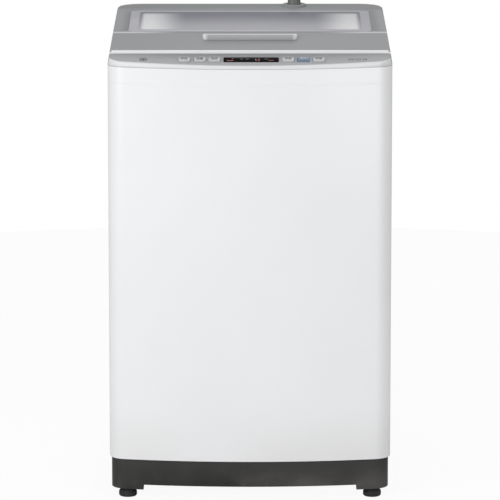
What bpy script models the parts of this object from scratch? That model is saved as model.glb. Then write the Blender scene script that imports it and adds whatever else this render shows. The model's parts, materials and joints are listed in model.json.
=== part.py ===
"""Top-load washing machine: steel cabinet, folding lid, sloped console, hung tub and belt drive.

Metres, +Z up. The front faces -Y, +X is to the right of a person standing in front of it, and the
origin is on the floor, under the middle of the machine.
"""

import math

import bmesh
import bpy
from mathutils import Matrix, Vector

for item in list(bpy.data.objects):
    bpy.data.objects.remove(item, do_unlink=True)

# ---------------------------------------------------------------- driving dimensions
WIDTH = 0.560
DEPTH = 0.570
CABINET_HEIGHT = 0.791
FRONT_SAG = 0.030           # how far the bowed front stands out at its middle
FRONT_CORNER_R = 0.038
COVER_REAR_R = 0.055        # rear corners of the plastic top
CABINET_REAR_R = 0.005      # rear corners of the steel cabinet
REAR_OVERHANG = 0.018       # the top stands out behind the cabinet by this much
SHEET = 0.0012
FLANGE = 0.012
GAP = 0.0003                # between pieces that touch

# Base and feet
BASE_BOTTOM = 0.029
BASE_HEIGHT = 0.052
BASE_INSET = 0.004
BASE_WALL = 0.004
BASE_FLOOR_Z = 0.040
BASE_FLOOR_T = 0.003
BASE_OPENING_R = 0.140
POD_BOTTOM = 0.019
POD_WIDTH = 0.064
POD_DEPTH = 0.062
FOOT_R = 0.018
FOOT_STEM_R = 0.0065
FOOT_STEM_TOP = 0.039
FOOT_INSET = 0.036          # foot centre from the cabinet's side, and from its front and rear
FOOT_FORWARD = 0.014        # a front foot stands this much further forward

# Plastic top, seen from the side
LIP_RISE = 0.003            # console's front edge above the cabinet
CONSOLE_DEPTH = 0.075
CONSOLE_RISE = 0.0195       # console's rear edge above the cabinet
FRONT_FLAP_DEPTH = 0.130
FOLD_RISE = 0.041
REAR_FLAP_DEPTH = 0.283
REAR_RISE = 0.047
SIDE_DRAFT = 0.167          # how much the sides lean in for each unit of height
LID_T = 0.014
LID_CLEARANCE = 0.0015      # rubber stops hold the lid this far above the deck
SKIN = 0.0025
LID_SKIN = 0.003
SEAM = 0.0012               # visible line between two outer pieces

# Rear panel
REAR_PANEL_MARGIN = 0.002
CORD_X = 0.200              # mains lead's bush
CORD_DROP = 0.092           # below the cabinet's top
CORD_R = 0.008
CORD_COLLAR = 0.004
CORD_BORE_R = 0.004
OUTLET_COLLAR = 0.009

# Throat that the washing goes in through
THROAT_WIDTH = 0.384
THROAT_FRONT_MARGIN = 0.016
THROAT_DEPTH = 0.318
THROAT_FRONT_R = 0.120
THROAT_REAR_R = 0.030
THROAT_BOTTOM_DROP = 0.057  # lower edge of the throat wall, under the cabinet's top

# Lid
HINGE_PIN_R = 0.0025
HINGE_PIN_LENGTH = 0.052
HINGE_PIN_X = 0.150
HINGE_EAR_WIDTH = 0.020
HINGE_KNOB_R = 0.006
EAR_ROOM = 0.001            # between an ear and the lid, on each side
BORE_CLEARANCE = 0.0003
LID_SWITCH_SIZE = (0.028, 0.024, 0.018)
LID_SWITCH_INSET = 0.045    # its middle in from the side
LID_SWITCH_FORWARD = 0.035  # and in front of the hinge
FOLD_DROP = 0.0055          # fold axis below the lid's underside
FOLD_KNUCKLE_R = 0.0045
FOLD_PIN_R = 0.002
FOLD_LENGTH = 0.330
FOLD_KNUCKLES = 5
KNUCKLE_GAP = 0.0008
WINDOW_WIDTH = 0.487
WINDOW_T = 0.0027
WINDOW_FRONT_MARGIN = 0.007
WINDOW_REAR_MARGIN = 0.022
WINDOW_R = 0.014
WINDOW_BORDER = 0.020
HANDLE_LENGTH = 0.188
HANDLE_DEPTH = 0.018
HANDLE_HEIGHT = 0.008
HANDLE_SETBACK = 0.034      # handle's rear edge in front of the fold
HANDLE_WALL = 0.0025
HANDLE_SLANT = 0.005        # how far the front face leans back over its height
HANDLE_LIP = 0.003          # upright part of the front face

# Console
CONTROLS_SETBACK = 0.037    # middle of the controls, behind the front edge
CONTROL_R = 0.003
BUTTON_WIDTH = 0.024
BUTTON_DEPTH = 0.020
BUTTON_PROUD = 0.0015
BUTTON_CROWN = 0.0012
BUTTON_SHOULDER = 0.003     # width of the slope round a key's crown
BUTTON_SINK = 0.0045
BUTTON_CLEARANCE = 0.0005
BUTTON_TRAVEL = 0.0015
LEFT_KEY_GAPS = (0.006, 0.0045, 0.0065)    # from the display outwards
RIGHT_KEY_GAPS = (0.0065, 0.0056, 0.0064)
DISPLAY_X = 0.00225
DISPLAY_WIDTH = 0.1085
DISPLAY_DEPTH = 0.021
BOARD_MARGIN = 0.012        # board beyond the outer keys
BOARD_DEPTH = 0.030
BOARD_T = 0.0016
BOARD_DROP = 0.0078
SWITCH_WIDTH = 0.006
POST_R = 0.003
POST_MARGIN = 0.005         # post's axis in from the board's end

# Tub and basket
TUB_SIDE_ROOM = 0.0338      # between the cabinet's side and the tub
TUB_FRONT_ROOM = 0.028
TUB_WALL = 0.0025
TUB_BOTTOM = 0.262
TUB_TOP_DROP = 0.082        # tub's top edge below the cabinet's top
TUB_RIM = 0.006
TUB_RING_LIP = 0.009
TUB_BEARING_R = 0.028
ROD_REACH = 0.045           # suspension rod from the tub's wall
ROD_R = 0.004
ROD_BOTTOM = 0.236
ROD_CLEARANCE = 0.0006
HANGER_DROP = 0.026
HANGER_T = 0.003
HANGER_REACH = 0.032        # how far a hanger plate reaches past its rod's hole, along X plus Y
LUG_BOTTOM = 0.330
LUG_HEIGHT = 0.022
LUG_WIDTH = 0.034
SPRING_R = 0.013
SPRING_WIRE_R = 0.00125
SPRING_TURNS = 5
SPRING_STEPS = 7            # straight pieces in each turn
BASKET_ROOM = 0.022         # between the tub's inner wall and the basket
BASKET_WALL = 0.001
BASKET_FLOOR = 0.2988
BASKET_TOP_DROP = 0.0392    # basket's top edge below the tub's
BALANCE_HEIGHT = 0.034
BALANCE_WIDTH = 0.046
BALANCE_OVERHANG = 0.004
PULSATOR_R = 0.165
PULSATOR_T = 0.007
PULSATOR_HUB = 0.014        # hub's top above the disc
PULSATOR_VANES = 6
VANE_WIDTH = 0.012
VANE_HEIGHT = 0.022
LINT_WIDTH = 0.103
LINT_T = 0.012
LINT_TOP_DROP = 0.072       # its top below the basket's
LINT_TAIL = 0.0045          # below its hinge
LINT_HINGE_RISE = 0.152     # hinge above the basket's floor
LINT_HINGE_INSET = 0.020    # and in from the basket's wall
LINT_ROOM = 0.001           # between the filter and its guide
LINT_GUIDE_WALL = 0.0075
LINT_GUIDE_FLOOR = 0.0025
LINT_PIN_R = 0.002
SPIN_SHAFT_R = 0.016
WASH_SHAFT_R = 0.0065
WASH_SHAFT_RISE = 0.085     # its lower end above the clutch's bottom
SHAFT_CLEARANCE = 0.0004

# Drive under the tub
BRACKET_T = 0.004
BRACKET_LEFT = 0.110
BRACKET_RIGHT = 0.212
BRACKET_HALF_DEPTH = 0.078
BRACKET_FLANGE = 0.012
CLUTCH_R = 0.055
CLUTCH_BOTTOM = 0.125
MOTOR_R = 0.060
MOTOR_BOTTOM = 0.128
MOTOR_X = 0.138
BELT_Z = 0.105
BELT_HEIGHT = 0.010
BELT_T = 0.003
BELT_CLEARANCE = 0.0006
CLUTCH_PULLEY_R = 0.056
MOTOR_PULLEY_R = 0.028
PULLEY_FLANGE = 0.0035
PULLEY_CHEEK = 0.0025       # height of a pulley beyond its belt

# Drain
SUMP_OFFSET = 0.130
PORT_R = 0.016
PORT_WALL = 0.002
PUMP_R = 0.032
PUMP_WALL = 0.004
PUMP_DECK = 0.085
PUMP_TOP = 0.130
PUMP_INLET_TOP = 0.172
PUMP_OUTLET_Z = 0.110
IMPELLER_R = 0.022
HOSE_R = 0.012
HOSE_WALL = 0.0025
HOSE_FIT = 0.0007           # a hose's bore over the stub it is pushed on

# Water inlet and detergent drawer
INLET_X = 0.091
INLET_REAR_MARGIN = 0.044
SPIGOT_R = 0.0132
SPIGOT_BORE_R = 0.009
SPIGOT_RISE = 0.017         # above the rear housing
INLET_BOSS_R = 0.0255
INLET_BOSS_HEIGHT = 0.005
VALVE_HALF_WIDTH = 0.024
VALVE_FRONT = 0.030         # valve body in front of the spigot's axis
VALVE_REAR = 0.012
VALVE_HEIGHT = 0.044
VALVE_COIL_R = 0.014
VALVE_COIL_LENGTH = 0.031
VALVE_NOZZLE_R = 0.009
DRAWER_X = -0.090
DRAWER_WIDTH = 0.118
DRAWER_REAR_MARGIN = 0.0385  # between the drawer's back and the top's rear edge
DRAWER_HEIGHT = 0.040
DRAWER_WALL = 0.002
DRAWER_FACE = 0.004
DRAWER_PROUD = 0.0015       # its face in front of the throat's rear wall
DRAWER_ROOM = 0.0013        # behind the closed drawer
FRONT_TRAY = 0.060          # partition behind the drawer's face
DRAWER_CLEARANCE = 0.0006
DISPENSER_WALL = 0.002

# ---------------------------------------------------------------- derived sizes and places
def key_places():
    """Middles of the keys along X, left to right, set out from the display's two ends."""
    places = [DISPLAY_X]
    for gaps, side in ((LEFT_KEY_GAPS, -1), (RIGHT_KEY_GAPS, 1)):
        x = DISPLAY_X + side * (DISPLAY_WIDTH / 2 - BUTTON_WIDTH / 2)
        for gap in gaps:
            x += side * (BUTTON_WIDTH + gap)
            places.append(x)
    places.remove(DISPLAY_X)
    return sorted(places)


BUTTONS_X = key_places()
CABINET_BOTTOM = BASE_BOTTOM + BASE_HEIGHT
CABINET_TOP = CABINET_BOTTOM + CABINET_HEIGHT
TOP_BASE = CABINET_TOP + GAP
FRONT_Y = -DEPTH / 2
REAR_Y = DEPTH / 2
CABINET_REAR = REAR_Y - REAR_OVERHANG
CORD_SPOT = (CORD_X, CABINET_TOP - CORD_DROP)
CONSOLE_BACK = FRONT_Y + CONSOLE_DEPTH
FOLD_Y = CONSOLE_BACK + FRONT_FLAP_DEPTH
LID_REAR = FOLD_Y + REAR_FLAP_DEPTH
HINGE_Y = LID_REAR - LID_T / 2
HINGE_Z = CABINET_TOP + REAR_RISE - LID_T / 2
HOUSING_FRONT = LID_REAR + SEAM
TOP_LINE = (
    (FRONT_Y - 0.02, CABINET_TOP + LIP_RISE - 0.02 * (CONSOLE_RISE - LIP_RISE) / CONSOLE_DEPTH),
    (CONSOLE_BACK, CABINET_TOP + CONSOLE_RISE),
    (FOLD_Y, CABINET_TOP + FOLD_RISE),
    (LID_REAR, CABINET_TOP + REAR_RISE),
    (REAR_Y + 0.02, CABINET_TOP + REAR_RISE),
)
DECK_DROP = LID_T + LID_CLEARANCE
TUB_Y = FRONT_Y + TUB_FRONT_ROOM + (DEPTH - REAR_OVERHANG - TUB_FRONT_ROOM - 0.030) / 2
TUB_R = min(WIDTH / 2 - SHEET - TUB_SIDE_ROOM, TUB_Y - FRONT_Y - TUB_FRONT_ROOM)
TUB_TOP = CABINET_TOP - TUB_TOP_DROP
ROD_OFFSET = (TUB_R + ROD_REACH) / math.sqrt(2)
BASKET_R = TUB_R - TUB_WALL - BASKET_ROOM
BASKET_TOP = TUB_TOP - BASKET_TOP_DROP
MOUTH_R = BASKET_R + BALANCE_OVERHANG - BALANCE_WIDTH
LINT_HEIGHT = BASKET_TOP - LINT_TOP_DROP - BASKET_FLOOR - LINT_HINGE_RISE
ROUND = 32                  # sides of the large turned pieces
FINE = 16                   # sides of the small ones


# ---------------------------------------------------------------- finishes
def finish(name, colour, roughness, metallic=0.0):
    material = bpy.data.materials.new(name)
    material.use_nodes = True
    shader = material.node_tree.nodes["Principled BSDF"]
    shader.inputs["Base Color"].default_value = (*colour, 1.0)
    shader.inputs["Roughness"].default_value = roughness
    shader.inputs["Metallic"].default_value = metallic
    return material


WHITE_ENAMEL = finish("white_enamel", (0.86, 0.86, 0.87), 0.35)
GREY_PLASTIC = finish("grey_plastic", (0.33, 0.33, 0.34), 0.40)
BASE_PLASTIC = finish("base_plastic", (0.06, 0.058, 0.055), 0.6)
DARK_RUBBER = finish("dark_rubber", (0.02, 0.02, 0.02), 0.8)
CLEAR_PANE = finish("clear_pane", (0.55, 0.57, 0.60), 0.1)
BLACK_GLOSS = finish("black_gloss", (0.01, 0.01, 0.012), 0.1)
BUTTON_PLASTIC = finish("button_plastic", (0.55, 0.56, 0.57), 0.35)
TUB_PLASTIC = finish("tub_plastic", (0.72, 0.73, 0.74), 0.5)
STAINLESS = finish("stainless", (0.62, 0.62, 0.63), 0.28, 1.0)
ZINC_STEEL = finish("zinc_steel", (0.50, 0.51, 0.52), 0.4, 1.0)
MOTOR_ALLOY = finish("motor_alloy", (0.42, 0.42, 0.43), 0.5, 0.9)
CIRCUIT_BOARD = finish("circuit_board", (0.03, 0.16, 0.07), 0.5)


# ---------------------------------------------------------------- modelling helpers
def solid(name, bm, material=None):
    """Turns a bmesh into an object whose faces point outwards."""
    bmesh.ops.remove_doubles(bm, verts=bm.verts, dist=1e-6)
    bmesh.ops.recalc_face_normals(bm, faces=bm.faces)
    mesh = bpy.data.meshes.new(name)
    bm.to_mesh(mesh)
    bm.free()
    obj = bpy.data.objects.new(name, mesh)
    bpy.context.scene.collection.objects.link(obj)
    if material:
        mesh.materials.append(material)
    return obj


def arc(centre, radius, start, end, steps):
    """Points of a circular arc, from one angle to another, both ends included."""
    turn = (end - start) / steps
    angles = [start + turn * i for i in range(steps + 1)]
    return [Vector((centre[0] + radius * math.cos(a), centre[1] + radius * math.sin(a))) for a in angles]


def plan(inset, rear_y, rear_r):
    """The machine's outline from above, counter-clockwise: bowed front, round corners."""
    half = WIDTH / 2
    bow_r = (half**2 + FRONT_SAG**2) / (2 * FRONT_SAG)
    bow_y = FRONT_Y + bow_r
    corner_x = half - FRONT_CORNER_R
    corner_y = bow_y - math.sqrt((bow_r - FRONT_CORNER_R) ** 2 - corner_x**2)
    lean = math.atan2(corner_x, bow_y - corner_y)
    down = -math.pi / 2
    right = arc((0, bow_y), bow_r - inset, down, down + lean, 6)
    right += arc((corner_x, corner_y), FRONT_CORNER_R - inset, down + lean, 0, 5)[1:]
    radius = max(rear_r - inset, 0.0015)
    right += arc((half - inset - radius, rear_y - inset - radius), radius, 0, math.pi / 2, 4)
    left = [Vector((-p.x, p.y)) for p in reversed(right[1:])]
    return right + left


def rounded(width, depth, radius, centre=(0, 0), rear_radius=None, steps=4):
    """A rectangle with round corners; the rear pair may have a radius of its own."""
    rear_radius = rear_radius or radius
    x, y = centre
    points = []
    for sx, sy, r, start in (
        (1, -1, radius, -90),
        (1, 1, rear_radius, 0),
        (-1, 1, rear_radius, 90),
        (-1, -1, radius, 180),
    ):
        corner = (x + sx * (width / 2 - r), y + sy * (depth / 2 - r))
        points += arc(corner, r, math.radians(start), math.radians(start + 90), steps)
    return points


def prism(name, outline, low, high, material=None, along="Z"):
    """A straight-sided solid: an outline pulled along Z, or, drawn in Y and Z, along X."""
    place = (lambda a, b, h: (a, b, h)) if along == "Z" else (lambda a, b, h: (h, a, b))
    bm = bmesh.new()
    face = bm.faces.new([bm.verts.new(place(a, b, low)) for a, b in outline])
    pulled = bmesh.ops.extrude_face_region(bm, geom=[face])["geom"]
    top = [item for item in pulled if isinstance(item, bmesh.types.BMVert)]
    bmesh.ops.translate(bm, verts=top, vec=Vector(place(0, 0, high - low)))
    return solid(name, bm, material)


def block(name, low, high, material=None):
    corners = [(low[0], low[1]), (high[0], low[1]), (high[0], high[1]), (low[0], high[1])]
    return prism(name, corners, low[2], high[2], material)


def cylinder(name, centre, radius, low, high, material=None, along="Z", steps=FINE):
    """A round bar; along X, its centre is given in Y and Z."""
    circle = arc(centre, radius, 0, 2 * math.pi, steps)[:-1]
    return prism(name, circle, low, high, material, along)


def turned(name, profile, centre, material=None, steps=FINE, closed=True):
    """A profile of radius and height, spun about an upright axis."""
    bm = bmesh.new()
    verts = [bm.verts.new((r, 0, z)) for r, z in profile]
    pairs = list(zip(verts, verts[1:]))
    if closed:
        pairs.append((verts[-1], verts[0]))
    edges = [bm.edges.new(pair) for pair in pairs]
    bmesh.ops.spin(
        bm, geom=verts + edges, cent=(0, 0, 0), axis=(0, 0, 1), dvec=(0, 0, 0),
        angle=2 * math.pi, steps=steps, use_merge=True, use_duplicate=False,
    )
    bmesh.ops.translate(bm, verts=bm.verts, vec=Vector((centre[0], centre[1], 0)))
    return solid(name, bm, material)


def combine(target, operation, *tools):
    """Cuts, joins or intersects, and uses the tools up."""
    for tool in tools:
        step = target.modifiers.new(operation.lower(), "BOOLEAN")
        step.operation = operation
        step.object = tool
    bpy.context.view_layer.update()
    graph = bpy.context.evaluated_depsgraph_get()
    mesh = bpy.data.meshes.new_from_object(target.evaluated_get(graph))
    target.modifiers.clear()
    target.data = mesh
    for tool in tools:
        bpy.data.objects.remove(tool, do_unlink=True)
    return target


def cut(target, *tools):
    return combine(target, "DIFFERENCE", *tools)


def join(target, *tools):
    return combine(target, "UNION", *tools)


def keep(target, *tools):
    return combine(target, "INTERSECT", *tools)


def moved(obj, matrix):
    obj.data.transform(matrix)
    return obj


def pivot(name, location, *pieces):
    """An empty on a joint's axis that carries the pieces which move there."""
    empty = bpy.data.objects.new(name, None)
    empty.location = location
    bpy.context.scene.collection.objects.link(empty)
    for piece in pieces:
        piece.parent = empty
        piece.matrix_parent_inverse = Matrix.Translation(location).inverted()
    return empty


def top_z(y):
    """Height of the top's outer surface."""
    for (y0, z0), (y1, z1) in zip(TOP_LINE, TOP_LINE[1:]):
        if y <= y1:
            return z0 + (z1 - z0) * (y - y0) / (y1 - y0)
    return TOP_LINE[-1][1]


def line_under_top(y0, y1, drop):
    breaks = [y for y, z in TOP_LINE if y0 < y < y1]
    return [(y, top_z(y) - drop) for y in [y0, *breaks, y1]]


def under_top(name, y0, y1, drop, floor):
    """Everything between a flat floor and the top's surface lowered by a drop."""
    upper = line_under_top(y0, y1, drop)
    return prism(name, [(y0, floor), (y1, floor), *reversed(upper)], -WIDTH, WIDTH, along="X")


def top_slab(name, y0, y1, drop, thickness):
    """A layer that follows the top's surface."""
    upper = line_under_top(y0, y1, drop)
    lower = line_under_top(y0, y1, drop + thickness)
    return prism(name, [*lower, *reversed(upper)], -WIDTH, WIDTH, along="X")


def drafted(name, wall, low, high, material=None):
    """The top's outer block with leaning sides, or a smaller block 'wall' inside it."""
    rings = []
    bm = bmesh.new()
    for z in (low, high):
        outline = plan(wall + SIDE_DRAFT * (z - TOP_BASE), REAR_Y, COVER_REAR_R)
        rings.append([bm.verts.new((x, y, z)) for x, y in outline])
    bm.faces.new(rings[0])
    bm.faces.new(rings[1])
    count = len(rings[0])
    for i in range(count):
        j = (i + 1) % count
        bm.faces.new((rings[0][i], rings[0][j], rings[1][j], rings[1][i]))
    return solid(name, bm, material)


def top_block(name, material=None):
    return drafted(name, 0, TOP_BASE, CABINET_TOP + REAR_RISE + 0.02, material)


def inner_block(name, wall):
    return drafted(name, wall, TOP_BASE - 0.08, CABINET_TOP + REAR_RISE + 0.03)


def slope(y0, y1):
    """Turns a flat piece drawn round the origin onto the top's surface between two places."""
    tilt = math.atan2(top_z(y1) - top_z(y0), y1 - y0)
    middle = (y0 + y1) / 2
    return Matrix.Translation((0, middle, top_z(middle))) @ Matrix.Rotation(tilt, 4, "X")


# ---------------------------------------------------------------- steel cabinet
def cabinet_plan(inset):
    return plan(inset, CABINET_REAR, CABINET_REAR_R)


def cabinet_shell():
    low, high = CABINET_BOTTOM, CABINET_TOP
    shell = prism("cabinet_shell", cabinet_plan(0), low, high, WHITE_ENAMEL)
    room = prism("room", cabinet_plan(SHEET), low + SHEET, high - SHEET)
    mouth = prism("mouth", cabinet_plan(FLANGE), low - 0.01, high + 0.01)
    half = WIDTH / 2 - FLANGE
    back = block(
        "back",
        (-half, CABINET_REAR - 0.03, CABINET_BOTTOM + FLANGE),
        (half, CABINET_REAR + 0.03, CABINET_TOP - FLANGE),
    )
    cut(shell, room, mouth, back)
    low = CABINET_TOP - HANGER_DROP
    hangers = prism("hangers", cabinet_plan(SHEET / 2), low, low + HANGER_T)
    reach = 2 * ROD_OFFSET - HANGER_REACH
    diamond = [(reach, TUB_Y), (0, TUB_Y + reach), (-reach, TUB_Y), (0, TUB_Y - reach)]
    cut(hangers, prism("middle", diamond, low - 0.01, low + HANGER_T + 0.01))
    join(shell, hangers)
    holes = [
        cylinder("hole", spot, ROD_R + ROD_CLEARANCE, low - 0.01, low + HANGER_T + 0.01, steps=12)
        for spot in rod_spots()
    ]
    return cut(shell, *holes)


def rod_spots():
    return [(sx * ROD_OFFSET, TUB_Y + sy * ROD_OFFSET) for sy in (-1, 1) for sx in (-1, 1)]


def drain_x():
    return -SUMP_OFFSET


def rear_panel():
    margin = REAR_PANEL_MARGIN
    panel = block(
        "rear_panel",
        (-WIDTH / 2 + margin, CABINET_REAR + GAP, CABINET_BOTTOM + margin),
        (WIDTH / 2 - margin, CABINET_REAR + GAP + SHEET, CABINET_TOP - margin),
        ZINC_STEEL,
    )
    return cut(
        panel,
        across("hole", (drain_x(), PUMP_OUTLET_Z), HOSE_R + GAP, CABINET_REAR - 0.01, CABINET_REAR + 0.02),
        across("cord_hole", CORD_SPOT, CORD_R + GAP, CABINET_REAR - 0.01, CABINET_REAR + 0.02),
    )


def across(name, centre, radius, low, high, material=None):
    """A round bar along Y; its centre is given in X and Z."""
    bar = cylinder(name, (0, 0), radius, -high, -low, material)
    turn = Matrix.Translation((centre[0], 0, centre[1])) @ Matrix.Rotation(math.pi / 2, 4, "X")
    return moved(bar, turn)


def power_cord_gland():
    """The bush in the rear panel that the mains lead would leave through."""
    outside = CABINET_REAR + 2 * GAP + SHEET
    gland = across("power_cord_gland", CORD_SPOT, CORD_R, CABINET_REAR - 0.008, outside + 0.001, DARK_RUBBER)
    join(gland, across("collar", CORD_SPOT, CORD_R + CORD_COLLAR, outside, outside + 0.005))
    return cut(gland, across("bore", CORD_SPOT, CORD_BORE_R, CABINET_REAR - 0.02, outside + 0.02))


# ---------------------------------------------------------------- base and feet
def foot_spots():
    x = WIDTH / 2 - FOOT_INSET
    front = FRONT_Y + FRONT_SAG + FOOT_INSET - FOOT_FORWARD
    return {
        "front_left": (-x, front), "front_right": (x, front),
        "rear_left": (-x, CABINET_REAR - FOOT_INSET), "rear_right": (x, CABINET_REAR - FOOT_INSET),
    }


def base_frame():
    top = CABINET_BOTTOM - GAP
    base = prism("base_frame", cabinet_plan(BASE_INSET), BASE_BOTTOM, top, BASE_PLASTIC)
    inner = cabinet_plan(BASE_INSET + BASE_WALL)
    cut(
        base,
        prism("upper_room", inner, BASE_FLOOR_Z + BASE_FLOOR_T, top + 0.01),
        prism("lower_room", inner, BASE_BOTTOM - 0.01, BASE_FLOOR_Z),
        cylinder("opening", (0, TUB_Y), BASE_OPENING_R, BASE_BOTTOM - 0.01, top, steps=ROUND),
    )
    pods = prism("pods", cabinet_plan(BASE_INSET), POD_BOTTOM, BASE_FLOOR_Z + 0.001)
    side = WIDTH / 2 - BASE_INSET - POD_WIDTH
    front = FRONT_Y + FRONT_SAG + POD_DEPTH
    rear = CABINET_REAR - POD_DEPTH
    cut(
        pods,
        block("between", (-side, -DEPTH, 0), (side, DEPTH, BASE_BOTTOM + 0.05)),
        block("beside", (-WIDTH, front, 0), (WIDTH, rear, BASE_BOTTOM + 0.05)),
    )
    join(base, pods)
    bores = [
        cylinder("bore", spot, FOOT_STEM_R + GAP, 0, BASE_FLOOR_Z + 0.02, steps=16)
        for spot in foot_spots().values()
    ]
    return cut(base, *bores)


def foot(name, spot):
    pad_top = POD_BOTTOM - 0.0005
    profile = [
        (0, 0), (FOOT_R - 0.002, 0), (FOOT_R, 0.002), (FOOT_R, 0.010), (FOOT_STEM_R + 0.006, pad_top),
        (FOOT_STEM_R, pad_top), (FOOT_STEM_R, FOOT_STEM_TOP), (0, FOOT_STEM_TOP),
    ]
    return turned(name, profile, spot, DARK_RUBBER, closed=False)


# ---------------------------------------------------------------- plastic top
def throat(name, grow, low, high):
    front = CONSOLE_BACK + THROAT_FRONT_MARGIN
    outline = rounded(
        THROAT_WIDTH + 2 * grow, THROAT_DEPTH + 2 * grow, THROAT_FRONT_R + grow,
        (0, front + THROAT_DEPTH / 2), THROAT_REAR_R + grow, steps=6,
    )
    return prism(name, outline, low, high)


def throat_rear():
    return CONSOLE_BACK + THROAT_FRONT_MARGIN + THROAT_DEPTH


def drawer_floor():
    """The drawer hangs just under the deck at the throat's rear wall."""
    ceiling = top_z(throat_rear()) - DECK_DROP - SKIN - GAP - DISPENSER_WALL
    return ceiling - DRAWER_CLEARANCE - DRAWER_HEIGHT


def drawer_box(name, grow, y0, y1, material=None):
    """The drawer's space, grown on all four sides, between two places."""
    low = drawer_floor()
    half = DRAWER_WIDTH / 2 + grow
    return block(
        name, (DRAWER_X - half, y0, low - grow), (DRAWER_X + half, y1, low + DRAWER_HEIGHT + grow), material
    )


def drawer_back():
    return REAR_Y - DRAWER_REAR_MARGIN


def inlet_y():
    return REAR_Y - INLET_REAR_MARGIN


def ear_spots():
    return (-HINGE_PIN_X, HINGE_PIN_X)


def top_cover():
    front = CONSOLE_BACK + SEAM / 2
    cover = top_block("top_cover", GREY_PLASTIC)
    keep(cover, under_top("region", front, REAR_Y + 0.01, DECK_DROP, TOP_BASE - 0.01))
    room = inner_block("room", SKIN)
    keep(room, under_top("region", front + SKIN, REAR_Y + 0.01, DECK_DROP + SKIN, TOP_BASE - 0.01))
    cut(cover, room)
    lower = CABINET_TOP - THROAT_BOTTOM_DROP
    wall = throat("wall", SKIN, lower, CABINET_TOP + REAR_RISE)
    keep(wall, under_top("region", FRONT_Y - 0.01, REAR_Y, DECK_DROP + SKIN / 2, lower - 0.01))
    join(cover, wall)
    cut(cover, throat("hole", 0, lower - 0.01, CABINET_TOP + 0.1))
    rear = throat_rear()
    cut(cover, drawer_box("drawer_hole", DRAWER_CLEARANCE, rear - 0.01, rear + SKIN + 0.001))
    cut(cover, cylinder("inlet_hole", (INLET_X, inlet_y()), SPIGOT_R + GAP, CABINET_TOP, CABINET_TOP + 0.1))
    for x in ear_spots():
        stem = block(
            "stem",
            (x - HINGE_EAR_WIDTH / 2, HINGE_Y - 0.005, HINGE_Z - LID_T / 2 - LID_CLEARANCE - SKIN / 2),
            (x + HINGE_EAR_WIDTH / 2, HINGE_Y + 0.005, HINGE_Z),
        )
        low, high = x - HINGE_EAR_WIDTH / 2, x + HINGE_EAR_WIDTH / 2
        join(stem, cylinder("knob", (HINGE_Y, HINGE_Z), HINGE_KNOB_R, low, high, along="X", steps=16))
        join(cover, stem)
        bore = HINGE_PIN_R + BORE_CLEARANCE
        cut(cover, cylinder("bore", (HINGE_Y, HINGE_Z), bore, low - 0.01, high + 0.01, along="X", steps=12))
    return cover


def hinge_pin(name, x):
    half = HINGE_PIN_LENGTH / 2
    return cylinder(name, (HINGE_Y, HINGE_Z), HINGE_PIN_R, x - half, x + half, ZINC_STEEL, "X", 12)


def rear_housing():
    housing = top_block("rear_housing", GREY_PLASTIC)
    keep(housing, top_slab("region", HOUSING_FRONT, REAR_Y + 0.01, 0, DECK_DROP - GAP))
    room = inner_block("room", SKIN)
    keep(room, top_slab("region", HOUSING_FRONT + SKIN, REAR_Y + 0.01, SKIN, DECK_DROP))
    cut(housing, room)
    top = CABINET_TOP + REAR_RISE
    spot = (INLET_X, inlet_y())
    boss = cylinder("boss", spot, INLET_BOSS_R, top - SKIN / 2, top + INLET_BOSS_HEIGHT, steps=24)
    keep(boss, block("room_for_boss", (0, HOUSING_FRONT, 0), (WIDTH, REAR_Y - 0.008, 2 * CABINET_TOP)))
    join(housing, boss)
    return cut(housing, cylinder("hole", spot, SPIGOT_R + GAP, TOP_BASE, top + 0.1))


def inlet_valve():
    """Valve body under the deck, its threaded spigot up through the deck and the housing."""
    centre = (INLET_X, inlet_y())
    ceiling = CABINET_TOP + REAR_RISE - DECK_DROP - SKIN - GAP
    top = CABINET_TOP + REAR_RISE + SPIGOT_RISE
    valve = block(
        "inlet_valve",
        (INLET_X - VALVE_HALF_WIDTH, inlet_y() - VALVE_FRONT, ceiling - VALVE_HEIGHT),
        (INLET_X + VALVE_HALF_WIDTH, inlet_y() + VALVE_REAR, ceiling),
        BASE_PLASTIC,
    )
    join(valve, cylinder("spigot", centre, SPIGOT_R, ceiling - 0.01, top))
    coil_spot = (inlet_y() - 0.007, ceiling - VALVE_HEIGHT / 2)
    coil_end = INLET_X + VALVE_HALF_WIDTH + VALVE_COIL_LENGTH
    join(valve, cylinder("coil", coil_spot, VALVE_COIL_R, INLET_X, coil_end, along="X"))
    nozzle_spot = (inlet_y() - VALVE_FRONT / 2, ceiling - 0.030)
    nozzle_end = DRAWER_X + DRAWER_WIDTH / 2 + DRAWER_CLEARANCE + DISPENSER_WALL + 2 * GAP
    join(valve, cylinder("nozzle", nozzle_spot, VALVE_NOZZLE_R, nozzle_end, INLET_X, along="X"))
    return cut(valve, cylinder("bore", centre, SPIGOT_BORE_R, ceiling - 0.02, top + 0.01))


def dispenser_housing():
    """The open-fronted box that the detergent drawer runs in."""
    front = throat_rear() + SKIN + GAP
    back = drawer_back() + DRAWER_ROOM
    grown = DRAWER_CLEARANCE + DISPENSER_WALL
    housing = drawer_box("dispenser_housing", grown, front, back + DISPENSER_WALL, TUB_PLASTIC)
    return cut(housing, drawer_box("room", DRAWER_CLEARANCE, front - 0.01, back))


def detergent_drawer():
    front = throat_rear() - DRAWER_PROUD
    back = drawer_back()
    drawer = drawer_box("detergent_drawer", 0, front, back, BUTTON_PLASTIC)
    low = drawer_floor()
    half = DRAWER_WIDTH / 2 - DRAWER_WALL
    wall_y = front + FRONT_TRAY
    for y0, y1 in ((front + DRAWER_FACE, wall_y), (wall_y + DRAWER_WALL, back - DRAWER_WALL)):
        room = ((DRAWER_X - half, y0, low + DRAWER_WALL), (DRAWER_X + half, y1, low + DRAWER_HEIGHT + 0.01))
        cut(drawer, block("room", *room))
    return drawer


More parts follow.
